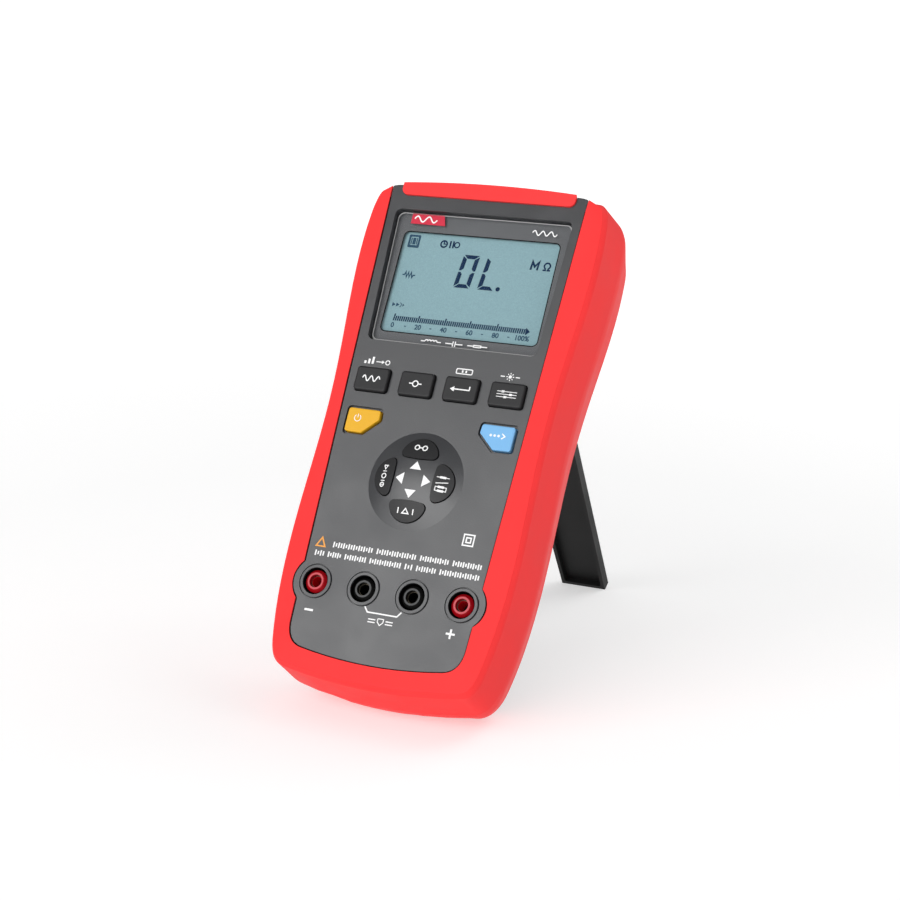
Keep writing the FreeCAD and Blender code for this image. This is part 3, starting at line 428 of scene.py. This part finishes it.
def figures(name, text, x, y, z, tall, material):
    """Generic figures or a unit, as a thin mesh centred on a point of the face; tall is their height."""
    curve = bpy.data.curves.new(name + "_outline", "FONT")
    curve.body = text
    curve.size = tall / CAPITAL_SHARE
    curve.align_x = "CENTER"
    curve.align_y = "CENTER"
    curve.extrude = INK / 2
    curve.offset = FIGURE_WEIGHT
    holder = bpy.data.objects.new(name + "_outline", curve)
    data = bpy.data.meshes.new_from_object(holder)
    bpy.data.objects.remove(holder)
    data.name = name
    data.transform(FACE @ Matrix.Translation((x, y, z + INK)))
    return add_piece(name, data, material, "meter")


# ---------------------------------------------------------------- display
LCD_LEVEL = face_box("lcd_glass")[1].z
LENS_BACK, LENS_LEVEL = (corner.z for corner in face_box("display_lens"))
LENS_OUTLINE = ((-33.2, 34.4), (33.2, 34.4), (35.2, 85.6), (-35.2, 85.6))
LENS_CORNER = 2.2
WINDOW_CORNER = 2.2
WINDOW_HALF = 31.4
WINDOW_LOW = 38.8
WINDOW_HIGH = 78.7
DIGIT_SLANT = 0.104
DIGIT_TALL = 12.9
DIGIT_WIDE = 6.7
SEGMENT_THICK = 1.75


def inset_outline(corners, amount):
    """A four-cornered outline drawn in by an amount at each side."""
    middle = sum((Vector(corner) for corner in corners), Vector((0, 0))) / len(corners)
    points = []
    for corner in corners:
        away = Vector(corner) - middle
        points.append((corner[0] - math.copysign(amount, away.x),
                       corner[1] - math.copysign(amount, away.y)))
    return points


def window_outline(grow):
    """The display's window, grown by an amount on every side."""
    half, low, high = WINDOW_HALF + grow, WINDOW_LOW - grow, WINDOW_HIGH + grow
    return rounded([(-half, low), (half, low), (half, high), (-half, high)], WINDOW_CORNER + grow)


def lens_border():
    """Grey border printed on the back of the lens, and a dark line of painted shade round the window,
    where the display sits deeper.
    """
    border = Print(level(LENS_BACK - INK * 2))
    outer = rounded(inset_outline(LENS_OUTLINE, 0.1), LENS_CORNER)
    border.band(outer, window_outline(0))
    border.finish("lens_border", "mask", "meter")
    # a near-black band round the window: painted shade where the display sits deeper than the border
    edge = Print(level(LENS_BACK - INK * 4))
    edge.band(window_outline(0.6), window_outline(-0.4))
    edge.finish("window_shade_line", "gap", "meter")


def lens_highlight():
    """Painted highlight: a pale grey band along the lens's polished edge, standing in for the light it
    catches.
    """
    glint = Print(level(LENS_LEVEL))
    glint.band(rounded(inset_outline(LENS_OUTLINE, 0.35), LENS_CORNER),
             rounded(inset_outline(LENS_OUTLINE, 0.7), LENS_CORNER))
    glint.finish("lens_highlight", "glint", "meter")


def segment_shapes():
    """Outlines of a seven-segment figure's outer six bars, before it is slanted."""
    wide, tall, thick, cut = DIGIT_WIDE, DIGIT_TALL, SEGMENT_THICK, 0.2
    flat = thick * 0.85
    middle = tall / 2
    upper = [(0.1, middle + 0.3), (thick * 0.55, middle + 0.3), (thick, middle + 1.1),
             (thick, tall - flat - cut), (0.1, tall - 0.5)]
    return {
        "bottom": [(0.3, 0), (wide - 0.3, 0), (wide - thick - cut, flat), (thick + cut, flat)],
        "top": [(0.3, tall), (thick + cut, tall - flat), (wide - thick - cut, tall - flat),
                (wide - 0.3, tall)],
        "left_high": upper,
        "left_low": [(x, tall - y) for x, y in reversed(upper)],
        "right_high": [(wide - x, y) for x, y in reversed(upper)],
        "right_low": [(wide - x, tall - y) for x, y in upper],
    }


def digit(sheet, x, y, bars):
    """A slanted figure made of the named bars, its lower left corner at x, y."""
    shapes = segment_shapes()
    for bar in bars:
        sheet.patch([(x + px + DIGIT_SLANT * py, y + py) for px, py in shapes[bar]])


READING_LOW = 58.7


def lcd_reading():
    """Overload reading with its unit."""
    sheet = Print(level(LCD_LEVEL))
    digit(sheet, -7.2, READING_LOW,
          ("top", "bottom", "left_high", "left_low", "right_high", "right_low"))
    digit(sheet, 2.4, READING_LOW, ("bottom", "left_high", "left_low"))
    sheet.disc(10.6, 59.5, 0.85)
    sheet.finish("lcd_reading", "segment", "meter")
    unit = Print(level(LCD_LEVEL))
    unit.ribbon([(21.3, 68.1), (21.6, 71.2), (22.7, 69.4), (24.1, 71.2), (23.8, 68.1)], 0.78)
    feet = [(26.0, 68.35), (27.0, 68.35)]
    bow = circle(27.5, 70.0, 1.15, 235, -55, 20)
    unit.ribbon(feet + bow + [(54.9 - x, y) for x, y in reversed(feet)], 0.62)
    unit.finish("lcd_unit", "segment", "meter")


BAR_LOW = 43.7
BAR_HIGH = 45.6
BAR_START = -27.6
BAR_STEP = 0.826
BAR_WIDE = 0.54
BAR_COUNT = 64
BAR_LEAN = 0.1
TALL_BARS = (0, 12, 25, 37, 50)
TALL_BAR_EXTRA = 0.8
BARS_PER_FIGURE = 12.5
SCALE_START = BAR_START + 0.4
SCALE_MIDDLE = 41.9
SCALE_TALL = 1.9


def lcd_bar_graph():
    """Row of slanted ticks ending in an arrow head, with a scale under it."""
    sheet = Print(level(LCD_LEVEL))
    for index in range(BAR_COUNT):
        x = BAR_START + index * BAR_STEP
        high = BAR_HIGH + (TALL_BAR_EXTRA if index in TALL_BARS else 0.0)
        lean = (high - BAR_LOW) * BAR_LEAN
        sheet.patch([(x, BAR_LOW), (x + BAR_WIDE, BAR_LOW), (x + BAR_WIDE + lean, high), (x + lean, high)])
    tip = BAR_START + BAR_COUNT * BAR_STEP
    sheet.patch([(tip, BAR_LOW - 0.5), (tip + 1.7, (BAR_LOW + BAR_HIGH) / 2), (tip, BAR_HIGH + 0.5)])
    sheet.finish("lcd_bar_graph", "segment", "meter")
    for index, text in enumerate(("0", "20", "40", "60", "80", "100%")):
        x = SCALE_START + index * BARS_PER_FIGURE * BAR_STEP
        figures("lcd_scale_%d" % index, text, x, SCALE_MIDDLE, LCD_LEVEL, SCALE_TALL, "faint")
    dots = Print(level(LCD_LEVEL))
    for index in range(5):
        x = SCALE_START + (index + 0.5) * BARS_PER_FIGURE * BAR_STEP
        dots.bar(x, SCALE_MIDDLE, 0.4, 0.18)
    dots.finish("lcd_scale_dots", "faint", "meter")


def lcd_battery_box():
    """Filled box at the top left with a paler column in it."""
    sheet = Print(level(LCD_LEVEL))
    sheet.band(rounded([(-29.5, 72.6), (-24.8, 72.6), (-24.8, 77.7), (-29.5, 77.7)], 0.5),
               rounded([(-28.7, 73.6), (-25.6, 73.6), (-25.6, 76.9), (-28.7, 76.9)], 0.4))
    for x, half_wide in ((-27.15, 0.6), (-28.25, 0.2), (-26.05, 0.2)):
        sheet.bar(x, 75.2, half_wide, 1.3)
    sheet.finish("lcd_battery_box", "faint", "meter")


TIMER_UP = 75.05


def lcd_timer():
    """Clock face, two bars and a ring in place of the switch-off word."""
    sheet = Print(level(LCD_LEVEL))
    sheet.loop(-14.9, TIMER_UP, 1.25, 0.62)
    sheet.ribbon([(-14.9, 76.0), (-14.9, TIMER_UP), (-14.1, TIMER_UP)], 0.45)
    for x in (-12.3, -11.1):
        sheet.bar(x, TIMER_UP, 0.32, 1.4)
    sheet.loop(-9.6, TIMER_UP, 1.0, 0.5)
    sheet.finish("lcd_timer", "segment", "meter")


def lcd_side_signs():
    """Resistor sign at the left edge, and the connection sign under it."""
    sheet = Print(level(LCD_LEVEL))
    zigzag = [(-28.4, 61.8), (-27.6, 61.8)]
    for index in range(6):
        zigzag.append((-27.2 + index * 0.55, 62.9 if index % 2 == 0 else 60.9))
    zigzag.extend([(-24.0, 61.8), (-23.2, 61.8)])
    sheet.ribbon(zigzag, 0.5)
    sheet.patch([(-29.4, 49.1), (-28.0, 49.9), (-29.4, 50.7)])
    sheet.patch([(-26.4, 49.9), (-27.8, 49.1), (-27.8, 50.7)][::-1])
    sheet.ribbon(circle(-26.6, 49.9, 0.9, -70, 70, 8), 0.3)
    sheet.patch([(-25.2, 49.3), (-24.4, 49.9), (-25.2, 50.5)])
    sheet.finish("lcd_side_signs", "faint", "meter")


# ---------------------------------------------------------------- prints on the lens border
def wave(x, y, half, height, periods, steps=28):
    """Points along a sine wave."""
    points = []
    for index in range(steps + 1):
        part = index / steps
        points.append((x - half + 2 * half * part, y + height * math.sin(2 * math.pi * periods * part)))
    return points


def coil(sheet, x, y, width):
    """Inductor sign, four humps."""
    sheet.ribbon([(x - 4.0, y), (x - 2.4, y)], width)
    for index in range(4):
        sheet.ribbon(circle(x - 1.8 + index * 1.2, y, 0.6, 180, 0, 8), width)
    sheet.ribbon([(x + 2.4, y), (x + 4.0, y)], width)


def capacitor(sheet, x, y, width):
    """Capacitor sign, two plates."""
    for sign in (-1, 1):
        sheet.bar(x + sign * 0.45, y, width / 2, 1.0)
        sheet.ribbon([(x + sign * 0.45, y), (x + sign * 3.4, y)], width)


def resistor(sheet, x, y, width):
    """Resistor sign, a box."""
    half, high = 1.6, 0.55
    sheet.band(rectangle(x, y, half, high), rectangle(x, y, half - width, high - width))
    for sign in (-1, 1):
        sheet.ribbon([(x + sign * half, y), (x + sign * 3.9, y)], width)


COMPONENT_UP = 36.3


def lens_prints():
    """Plain red tab with a wave, a wave at the right and the three component signs at the bottom."""
    tab = Print(level(LENS_LEVEL))
    tab.patch([(-29.2, 81.1), (-15.1, 81.1), (-16.3, 85.2), (-29.2, 85.2)])
    tab.finish("lens_red_tab", "patch", "meter")
    signs = Print(level(LENS_LEVEL), INK)
    signs.ribbon(wave(-23.4, 83.1, 4.6, 1.1, 2), 0.5)
    signs.ribbon(wave(24.6, 81.4, 4.8, 0.9, 3), SIGN_STROKE)
    for draw, x in ((coil, -9.0), (capacitor, 0.2), (resistor, 9.4)):
        draw(signs, x, COMPONENT_UP, SIGN_STROKE)
    signs.finish("lens_white_signs", "white", "meter")


# ---------------------------------------------------------------- prints on the face plate
OVER_KEYS_UP = 25.8
LAMP_RIGHT = 25.8


def signs_over_keys(sheet):
    """Sorting bins over the first key, a held bar pair over the third, a lamp over the fourth."""
    for index, high in enumerate((0.5, 0.9, 1.35)):
        sheet.bar(-31.6 + index * 1.5, 24.8 + high, 0.42, high)
    sheet.ribbon([(-27.2, OVER_KEYS_UP), (-24.8, OVER_KEYS_UP)], 0.36)
    sheet.patch([(-24.9, 25.1), (-23.9, OVER_KEYS_UP), (-24.9, 26.5)])
    sheet.loop(-22.6, OVER_KEYS_UP, 0.8, 0.36)
    sheet.band(rounded([(4.7, 24.7), (11.3, 24.7), (11.3, 26.9), (4.7, 26.9)], 0.6),
               rounded([(5.1, 25.1), (10.9, 25.1), (10.9, 26.5), (5.1, 26.5)], 0.3))
    for x in (7.3, 8.7):
        sheet.bar(x, OVER_KEYS_UP, 0.3, 0.45)
    sheet.disc(LAMP_RIGHT, OVER_KEYS_UP, 0.62)
    for sign in (-1, 1):
        sheet.bar(LAMP_RIGHT + sign * 2.9, OVER_KEYS_UP, 0.8, 0.2)
    centre = Vector((LAMP_RIGHT, OVER_KEYS_UP))
    for index in range(8):
        angle = math.radians(45 * index)
        way = Vector((math.cos(angle), math.sin(angle)))
        sheet.ribbon([centre + way * 0.95, centre + way * 1.5], 0.3)


# start of each line and the widths of its groups of ticks
LINE_WORDS = ((-25.6, (16.1, 15.7, 11.3, 11.3)), (-31.9, (4.1, 5.6, 8.8, 12.6, 3.4, 7.9, 15.4)))
LINE_HEIGHTS = (-43.2, -46.95)
LINE_END = 32.6
TICK_STEP = 0.98
TICK_HALF_WIDE = 0.27
TICK_HALVES = (1.0, 0.6, 1.0, 0.8)


def note_lines(sheet):
    """Two rows of grouped ticks in place of the printed advice."""
    for (start, words), y in zip(LINE_WORDS, LINE_HEIGHTS):
        gap = (LINE_END - start - sum(words)) / (len(words) - 1)
        for word in words:
            count = round(word / TICK_STEP)
            for index in range(count):
                sheet.bar(start + word * (index + 0.5) / count, y, TICK_HALF_WIDE,
                          TICK_HALVES[index % len(TICK_HALVES)])
            start += word + gap


POLE_UP = -67.6
PLUS_RIGHT = 26.9


def socket_signs(sheet):
    """Minus, plus, the bracket between the middle sockets and the shield under it."""
    sheet.bar(-28.3, POLE_UP, 1.7, 0.38)
    sheet.bar(PLUS_RIGHT, POLE_UP, 1.7, 0.36)
    for sign in (-1, 1):
        sheet.bar(PLUS_RIGHT, POLE_UP + sign * 1.03, 0.36, 0.67)
    sheet.ribbon([(-7.2, -63.1), (-5.8, -64.9), (5.7, -64.9), (7.1, -63.1)], 0.5)
    shield = [(-1.1, -66.6), (1.1, -66.6), (1.1, -67.8), (0, -68.9), (-1.1, -67.8), (-1.1, -66.6)]
    sheet.ribbon(shield, 0.34)
    for sign in (-1, 1):
        for y in (-67.2, -68.2):
            sheet.bar(sign * 3.4, y, 1.4, 0.2)


# how far the dark line reaches in over the plate and out over the bumper, and its height
EDGE_INNER = -0.1
EDGE_OUTER = 0.34
EDGE_LEVEL = -0.02
# the rays that find the edge: down each side, then round the foot
EDGE_TOP = 90
EDGE_STEP = 1.3
EDGE_STEPS = 120
FOOT_MIDDLE = -66
FOOT_STEP_DEGREES = 3
RAY_REACH = 80
RAY_LEVEL = -0.4


def face_edge_points():
    """The grey plate's edge from the top left, round the foot, to the top right."""
    tree = BVHTree.FromObject(NODES["front_case"], bpy.context.evaluated_depsgraph_get())
    heights = [EDGE_TOP - step * EDGE_STEP for step in range(EDGE_STEPS + 1)]
    rays = [(height, Vector((-1, 0, 0))) for height in heights]
    for step in range(1, 180 // FOOT_STEP_DEGREES):
        angle = math.radians(180 + FOOT_STEP_DEGREES * step)
        rays.append((FOOT_MIDDLE, Vector((math.cos(angle), math.sin(angle), 0))))
    rays.extend((height, Vector((1, 0, 0))) for height in reversed(heights))
    points = []
    for height, way in rays:
        start = Vector((0, height, RAY_LEVEL)) + way * RAY_REACH
        hit = tree.ray_cast(FACE @ start, FACE.to_3x3() @ -way)[0]
        if hit:
            points.append((UNFACE @ hit).to_2d())
    return points


def face_edge():
    """Dark line of painted shade along the narrow gap between the grey plate and the bumper."""
    points = face_edge_points()
    sheet = Print(level(EDGE_LEVEL))
    sides = []
    for index, here in enumerate(points):
        before, after = points[max(index - 1, 0)], points[min(index + 1, len(points) - 1)]
        way = (after - before).normalized()
        out = Vector((way.y, -way.x))
        sides.append((sheet.corner(*(here + out * EDGE_INNER)),
                      sheet.corner(*(here + out * EDGE_OUTER))))
    for first, second in zip(sides, sides[1:]):
        sheet.mesh.faces.new((first[0], first[1], second[1], second[0]))
    sheet.finish("face_edge_shade", "gap", "meter")


PAD_UP = -16.44
PAD_TIP = 6.75
PAD_BASE = 3.75
PAD_HALF = 2.2
PAD_LIFT = 0.05


def pad_arrows():
    """Four white triangles on the domed pad."""
    sheet = Print(surface_height("front_case"), PAD_LIFT)
    corners = [(-PAD_HALF, PAD_BASE), (PAD_HALF, PAD_BASE), (0, PAD_TIP)]
    for index in range(4):
        turn = Matrix.Rotation(math.radians(90 * index), 2)
        points = [turn @ Vector(corner) for corner in corners]
        sheet.patch([(point.x, point.y + PAD_UP) for point in points])
    sheet.finish("pad_arrows", "white", "meter")


def double_square(sheet):
    """Two squares, one in the other, right of the pad."""
    x, y, line = 25.2, -34.4, 0.5
    for half in (2.2, 1.1):
        sheet.band(rectangle(x, y, half, half), rectangle(x, y, half - line, half - line))


def face_prints():
    """White signs of the grey plate, and the open orange triangle before the ticks."""
    sheet = Print(level(0.0))
    signs_over_keys(sheet)
    note_lines(sheet)
    socket_signs(sheet)
    double_square(sheet)
    sheet.finish("face_white_signs", "white", "meter")
    mark = Print(level(0.0))
    outer = [(-32.4, -44.7), (-28.0, -44.7), (-30.2, -40.7)]
    inner = [(-31.5, -44.2), (-28.9, -44.2), (-30.2, -41.8)]
    mark.band(outer, inner)
    mark.finish("face_orange_mark", "orange", "meter")


# ---------------------------------------------------------------- signs on the keys
def frequency_sign(sheet, x, y):
    """A wave."""
    sheet.ribbon(wave(x, y, 3.5, 1.0, 2.5, 40), SIGN_STROKE)


def zero_sign(sheet, x, y):
    """A ring and two short arms."""
    sheet.loop(x, y, 1.05, SIGN_STROKE)
    for sign in (-1, 1):
        sheet.ribbon([(x + sign * 1.3, y), (x + sign * 2.5, y)], SIGN_STROKE)


def enter_sign(sheet, x, y):
    """A bent arrow."""
    sheet.ribbon([(x + 3.6, y + 1.2), (x + 3.6, y - 0.2), (x - 2.4, y - 0.2)], SIGN_STROKE)
    sheet.patch([(x - 3.9, y - 0.2), (x - 2.3, y - 1.15), (x - 2.3, y + 0.75)])


def setup_sign(sheet, x, y):
    """Three sliders."""
    for height, knob in ((1.0, -1.6), (0, 1.5), (-1.0, -0.4)):
        sheet.ribbon([(x - 3.8, y + height), (x + 3.8, y + height)], 0.24)
        sheet.bar(x + knob, y + height, 0.55, 0.4)


def power_sign(sheet, x, y):
    """A broken ring with a stroke in the break."""
    sheet.ribbon(circle(x, y, 1.25, 125, 415, 24), 0.26)
    sheet.ribbon([(x, y + 0.2), (x, y + 1.5)], 0.26)


def function_sign(sheet, x, y):
    """Three dots and an arrow head: the next function."""
    for index in range(3):
        sheet.disc(x - 2.7 + index * 1.5, y, 0.48)
    sheet.ribbon([(x + 1.5, y + 0.95), (x + 2.7, y), (x + 1.5, y - 0.95)], 0.45)


def link_sign(sheet, x, y):
    """Two linked rings: the data connection."""
    for sign in (-1, 1):
        sheet.loop(x + sign * 1.5, y, 0.85, SIGN_STROKE)
    sheet.ribbon([(x - 0.9, y), (x + 0.9, y)], SIGN_STROKE)


def difference_sign(sheet, x, y):
    """Triangle with a stroke on each side."""
    sheet.band([(x - 1.6, y - 1.0), (x + 1.6, y - 1.0), (x, y + 1.25)],
               [(x - 0.85, y - 0.6), (x + 0.85, y - 0.6), (x, y + 0.6)])
    for sign in (-1, 1):
        sheet.bar(x + sign * 2.9, y, 0.2, 1.0)


def circuit_sign(sheet, x, y):
    """Series over parallel, parted by a slanted stroke."""
    sheet.bar(x, y + 2.0, 1.1, 0.4)
    for sign in (-1, 1):
        sheet.bar(x + sign * 1.7, y + 2.0, 0.6, 0.14)
    sheet.ribbon([(x - 2.2, y - 0.3), (x + 2.2, y + 0.4)], 0.3)
    for height in (-1.5, -2.9):
        sheet.bar(x, y + height, 1.1, 0.4)
        for sign in (-1, 1):
            sheet.bar(x + sign * 1.6, y + height, 0.5, 0.14)
    for sign in (-1, 1):
        sheet.bar(x + sign * 2.0, y - 2.2, 0.14, 0.8)


def loss_sign(sheet, x, y):
    """Three small signs one above another, parted by short strokes."""
    sheet.ribbon([(x - 0.75, y + 3.9), (x + 0.75, y + 3.9), (x, y + 2.5), (x - 0.75, y + 3.9)], 0.34)
    for height in (1.75, -1.75):
        sheet.bar(x, y + height, 0.75, 0.15)
    sheet.loop(x, y, 0.85, 0.36, 20)
    sheet.loop(x, y - 3.2, 0.75, 0.34, 20)
    sheet.bar(x, y - 3.2, 0.6, 0.14)


# key, its body, its sign, and how far the sign stands from the key's middle
KEY_SIGNS = (
    ("row_key_one", "row_button_one", frequency_sign, 0, 0),
    ("row_key_two", "row_button_two", zero_sign, 0, 0),
    ("row_key_three", "row_button_three", enter_sign, 0, 0),
    ("row_key_four", "row_button_four", setup_sign, 0.2, 0),
    ("power_key", "power_button", power_sign, -2.1, 0.8),
    ("function_key", "function_button", function_sign, 0.6, 0.7),
    ("nav_key_up", "nav_button_up", link_sign, 0, 0.3),
    ("nav_key_down", "nav_button_down", difference_sign, 0, 0),
    ("nav_key_right", "nav_button_right", circuit_sign, -0.4, 0.2),
    ("nav_key_left", "nav_button_left", loss_sign, 0, 0),
)


KEY_LIFT = 0.02


def key_prints():
    """Each key's sign, laid on its top and riding on its body."""
    for node, body, draw, right, up in KEY_SIGNS:
        low, high = face_box(node)
        sheet = Print(surface_height(node), KEY_LIFT)
        draw(sheet, (low.x + high.x) / 2 + right, (low.y + high.y) / 2 + up)
        sheet.finish(node + "_sign", "white", body)


# ---------------------------------------------------------------- painted shade in the socket bores, painted highlights on the socket tops, and the sleeves
BORE_SHADE_OUTER = 4.87
BORE_SHADE_INNER = 4.72
BORE_SHADE_TOP = -0.25
BORE_SHADE_LOW = -14.5
TUBE_STEPS = 48


def tube(name, x, y, outer, inner, low, high, material):
    """A plain ring standing along the face's normal."""
    mesh = bmesh.new()
    loops = []
    for radius, z in ((outer, low), (outer, high), (inner, high), (inner, low)):
        round_points = circle(x, y, radius, 0, 360, TUBE_STEPS)[:-1]
        loops.append([mesh.verts.new(place(px, py, z)) for px, py in round_points])
    for loop, other in zip(loops, loops[1:] + loops[:1]):
        for index in range(len(loop)):
            after = (index + 1) % len(loop)
            mesh.faces.new((loop[index], loop[after], other[after], other[index]))
    bmesh.ops.recalc_face_normals(mesh, faces=list(mesh.faces))
    data = bpy.data.meshes.new(name)
    mesh.to_mesh(data)
    mesh.free()
    return add_piece(name, data, material, "meter")


def socket_middle(label):
    """How far right of the face's middle a socket stands."""
    low, high = face_box("socket_body_" + label)
    return (low.x + high.x) / 2


def socket_bore_shades():
    """Painted shade: a near-black tube lining the grey bore round each socket body, so that the deep gap
    reads dark.
    """
    for label in SOCKET_NAMES:
        x = socket_middle(label)
        tube("socket_bore_shade_" + label, x, SOCKET_UP, BORE_SHADE_OUTER, BORE_SHADE_INNER, BORE_SHADE_LOW, BORE_SHADE_TOP,
             "gap")


SLEEVE_OUTER = 1.98
SLEEVE_INNER = 1.93
SLEEVE_TOP = -1.42
SLEEVE_LOW = -7.0
RING_RADIUS = 2.72
RING_WIDE = 0.66
RING_MATERIALS = {"one": ("red_top_highlight", "red_sleeve"), "two": ("grey_top_highlight", "gap"),
                  "three": ("grey_top_highlight", "gap"), "four": ("red_top_highlight", "red_sleeve")}


def socket_rings():
    """A painted highlight ring, lighter than the socket, on the flat top of each socket core; and a thin
    sleeve down in the hole over the contact: near-black painted shade in the black sockets, and in the red
    ones the red plastic's own colour made lighter as painted light.
    """
    for label in SOCKET_NAMES:
        x = socket_middle(label)
        ring_material, sleeve_material = RING_MATERIALS[label]
        ring = Print(level(face_box("socket_body_" + label)[1].z))
        ring.loop(x, SOCKET_UP, RING_RADIUS, RING_WIDE, 40)
        ring.finish("socket_highlight_" + label, ring_material, "meter")
        tube("socket_sleeve_" + label, x, SOCKET_UP, SLEEVE_OUTER, SLEEVE_INNER, SLEEVE_LOW, SLEEVE_TOP,
             sleeve_material)


for make in (lens_border, lens_highlight, lcd_reading, lcd_bar_graph, lcd_battery_box, lcd_timer,
             lcd_side_signs, lens_prints, face_prints, face_edge, pad_arrows, key_prints,
             socket_bore_shades, socket_rings):
    make()


# ---------------------------------------------------------------- stage, camera and light
FLOOR_HALF = 20.0
FLOOR_GREY = 0.62
GLOW_NEAR, GLOW_FAR = 0.46, 0.85
NEAR_M, FAR_M = 0.3, 1.8


def make_stage():
    """White floor that glows a little, more so far away, so that it runs into the white background."""
    lowest = CAD_BOX[0][2]
    half = FLOOR_HALF
    data = bpy.data.meshes.new("floor")
    corners = [(-half, -half, lowest), (half, -half, lowest), (half, half, lowest), (-half, half, lowest)]
    data.from_pydata(corners, [], [(0, 1, 2, 3)])
    floor = bpy.data.objects.new("floor", data)
    bpy.context.scene.collection.objects.link(floor)
    material, nodes, links, shader = new_material("pale_floor")
    broad = noise(nodes, links, 0.4)
    links.new(spread(nodes, links, broad, 0.75, 0.85), shader.inputs["Roughness"])
    shader.inputs["Base Color"].default_value = (FLOOR_GREY, FLOOR_GREY, FLOOR_GREY, 1)
    shader.inputs["Emission Color"].default_value = (1, 1, 1, 1)
    coordinates = nodes.new("ShaderNodeTexCoord")
    distance = nodes.new("ShaderNodeVectorMath")
    distance.operation = "LENGTH"
    links.new(coordinates.outputs["Object"], distance.inputs[0])
    glow = spread(nodes, links, distance.outputs["Value"], GLOW_NEAR, GLOW_FAR, NEAR_M, FAR_M)
    links.new(glow, shader.inputs["Emission Strength"])
    data.materials.append(material)


# fitted to the photograph, in the face frame
CAMERA_PLACE = (316.92, -176.81, 640.46)
CAMERA_RIGHT = (0.89966, 0.23599, -0.36731)
CAMERA_UP = (-0.11959, 0.94235, 0.31253)
FOCAL_MM = 83.46
SENSOR_MM = 36


def make_camera():
    data = bpy.data.cameras.new("camera")
    data.sensor_width = SENSOR_MM
    data.lens = FOCAL_MM
    camera = bpy.data.objects.new("camera", data)
    bpy.context.scene.collection.objects.link(camera)
    camera.location = place(*CAMERA_PLACE)
    turn = FACE.to_3x3()
    right = (turn @ Vector(CAMERA_RIGHT)).normalized()
    up = (turn @ Vector(CAMERA_UP)).normalized()
    camera.rotation_euler = Matrix((right, up, right.cross(up))).transposed().to_euler()
    bpy.context.scene.camera = camera


def soft_light(name, place_m, aim_m, size, power):
    """A rectangular lamp of a size in metres and a power in watts, turned towards a point."""
    data = bpy.data.lights.new(name, "AREA")
    data.shape = "RECTANGLE"
    data.size, data.size_y = size
    data.energy = power
    light = bpy.data.objects.new(name, data)
    bpy.context.scene.collection.objects.link(light)
    light.location = place_m
    light.rotation_euler = (Vector(aim_m) - Vector(place_m)).to_track_quat("-Z", "Y").to_euler()


WORLD_STRENGTH = 0.38
METER_MIDDLE = (0, 0, 0.09)


def make_light():
    """Dim white surroundings, a front lamp that the face mirrors, and two weaker ones."""
    world = bpy.data.worlds.new("studio")
    world.use_nodes = True
    world.node_tree.nodes["Background"].inputs["Color"].default_value = (1, 1, 1, 1)
    world.node_tree.nodes["Background"].inputs["Strength"].default_value = WORLD_STRENGTH
    bpy.context.scene.world = world
    soft_light("front_light", (-0.29, -1.66, 0.84), METER_MIDDLE, (2.2, 1.3), 30)
    soft_light("back_light", (0.9, 1.2, 1.6), (0, 0.3, 0), (1.6, 1.6), 14)
    soft_light("side_light", (1.5, -0.2, 0.5), METER_MIDDLE, (0.8, 0.8), 2)


make_stage()
make_camera()
make_light()
bpy.context.scene.view_settings.view_transform = "Standard"
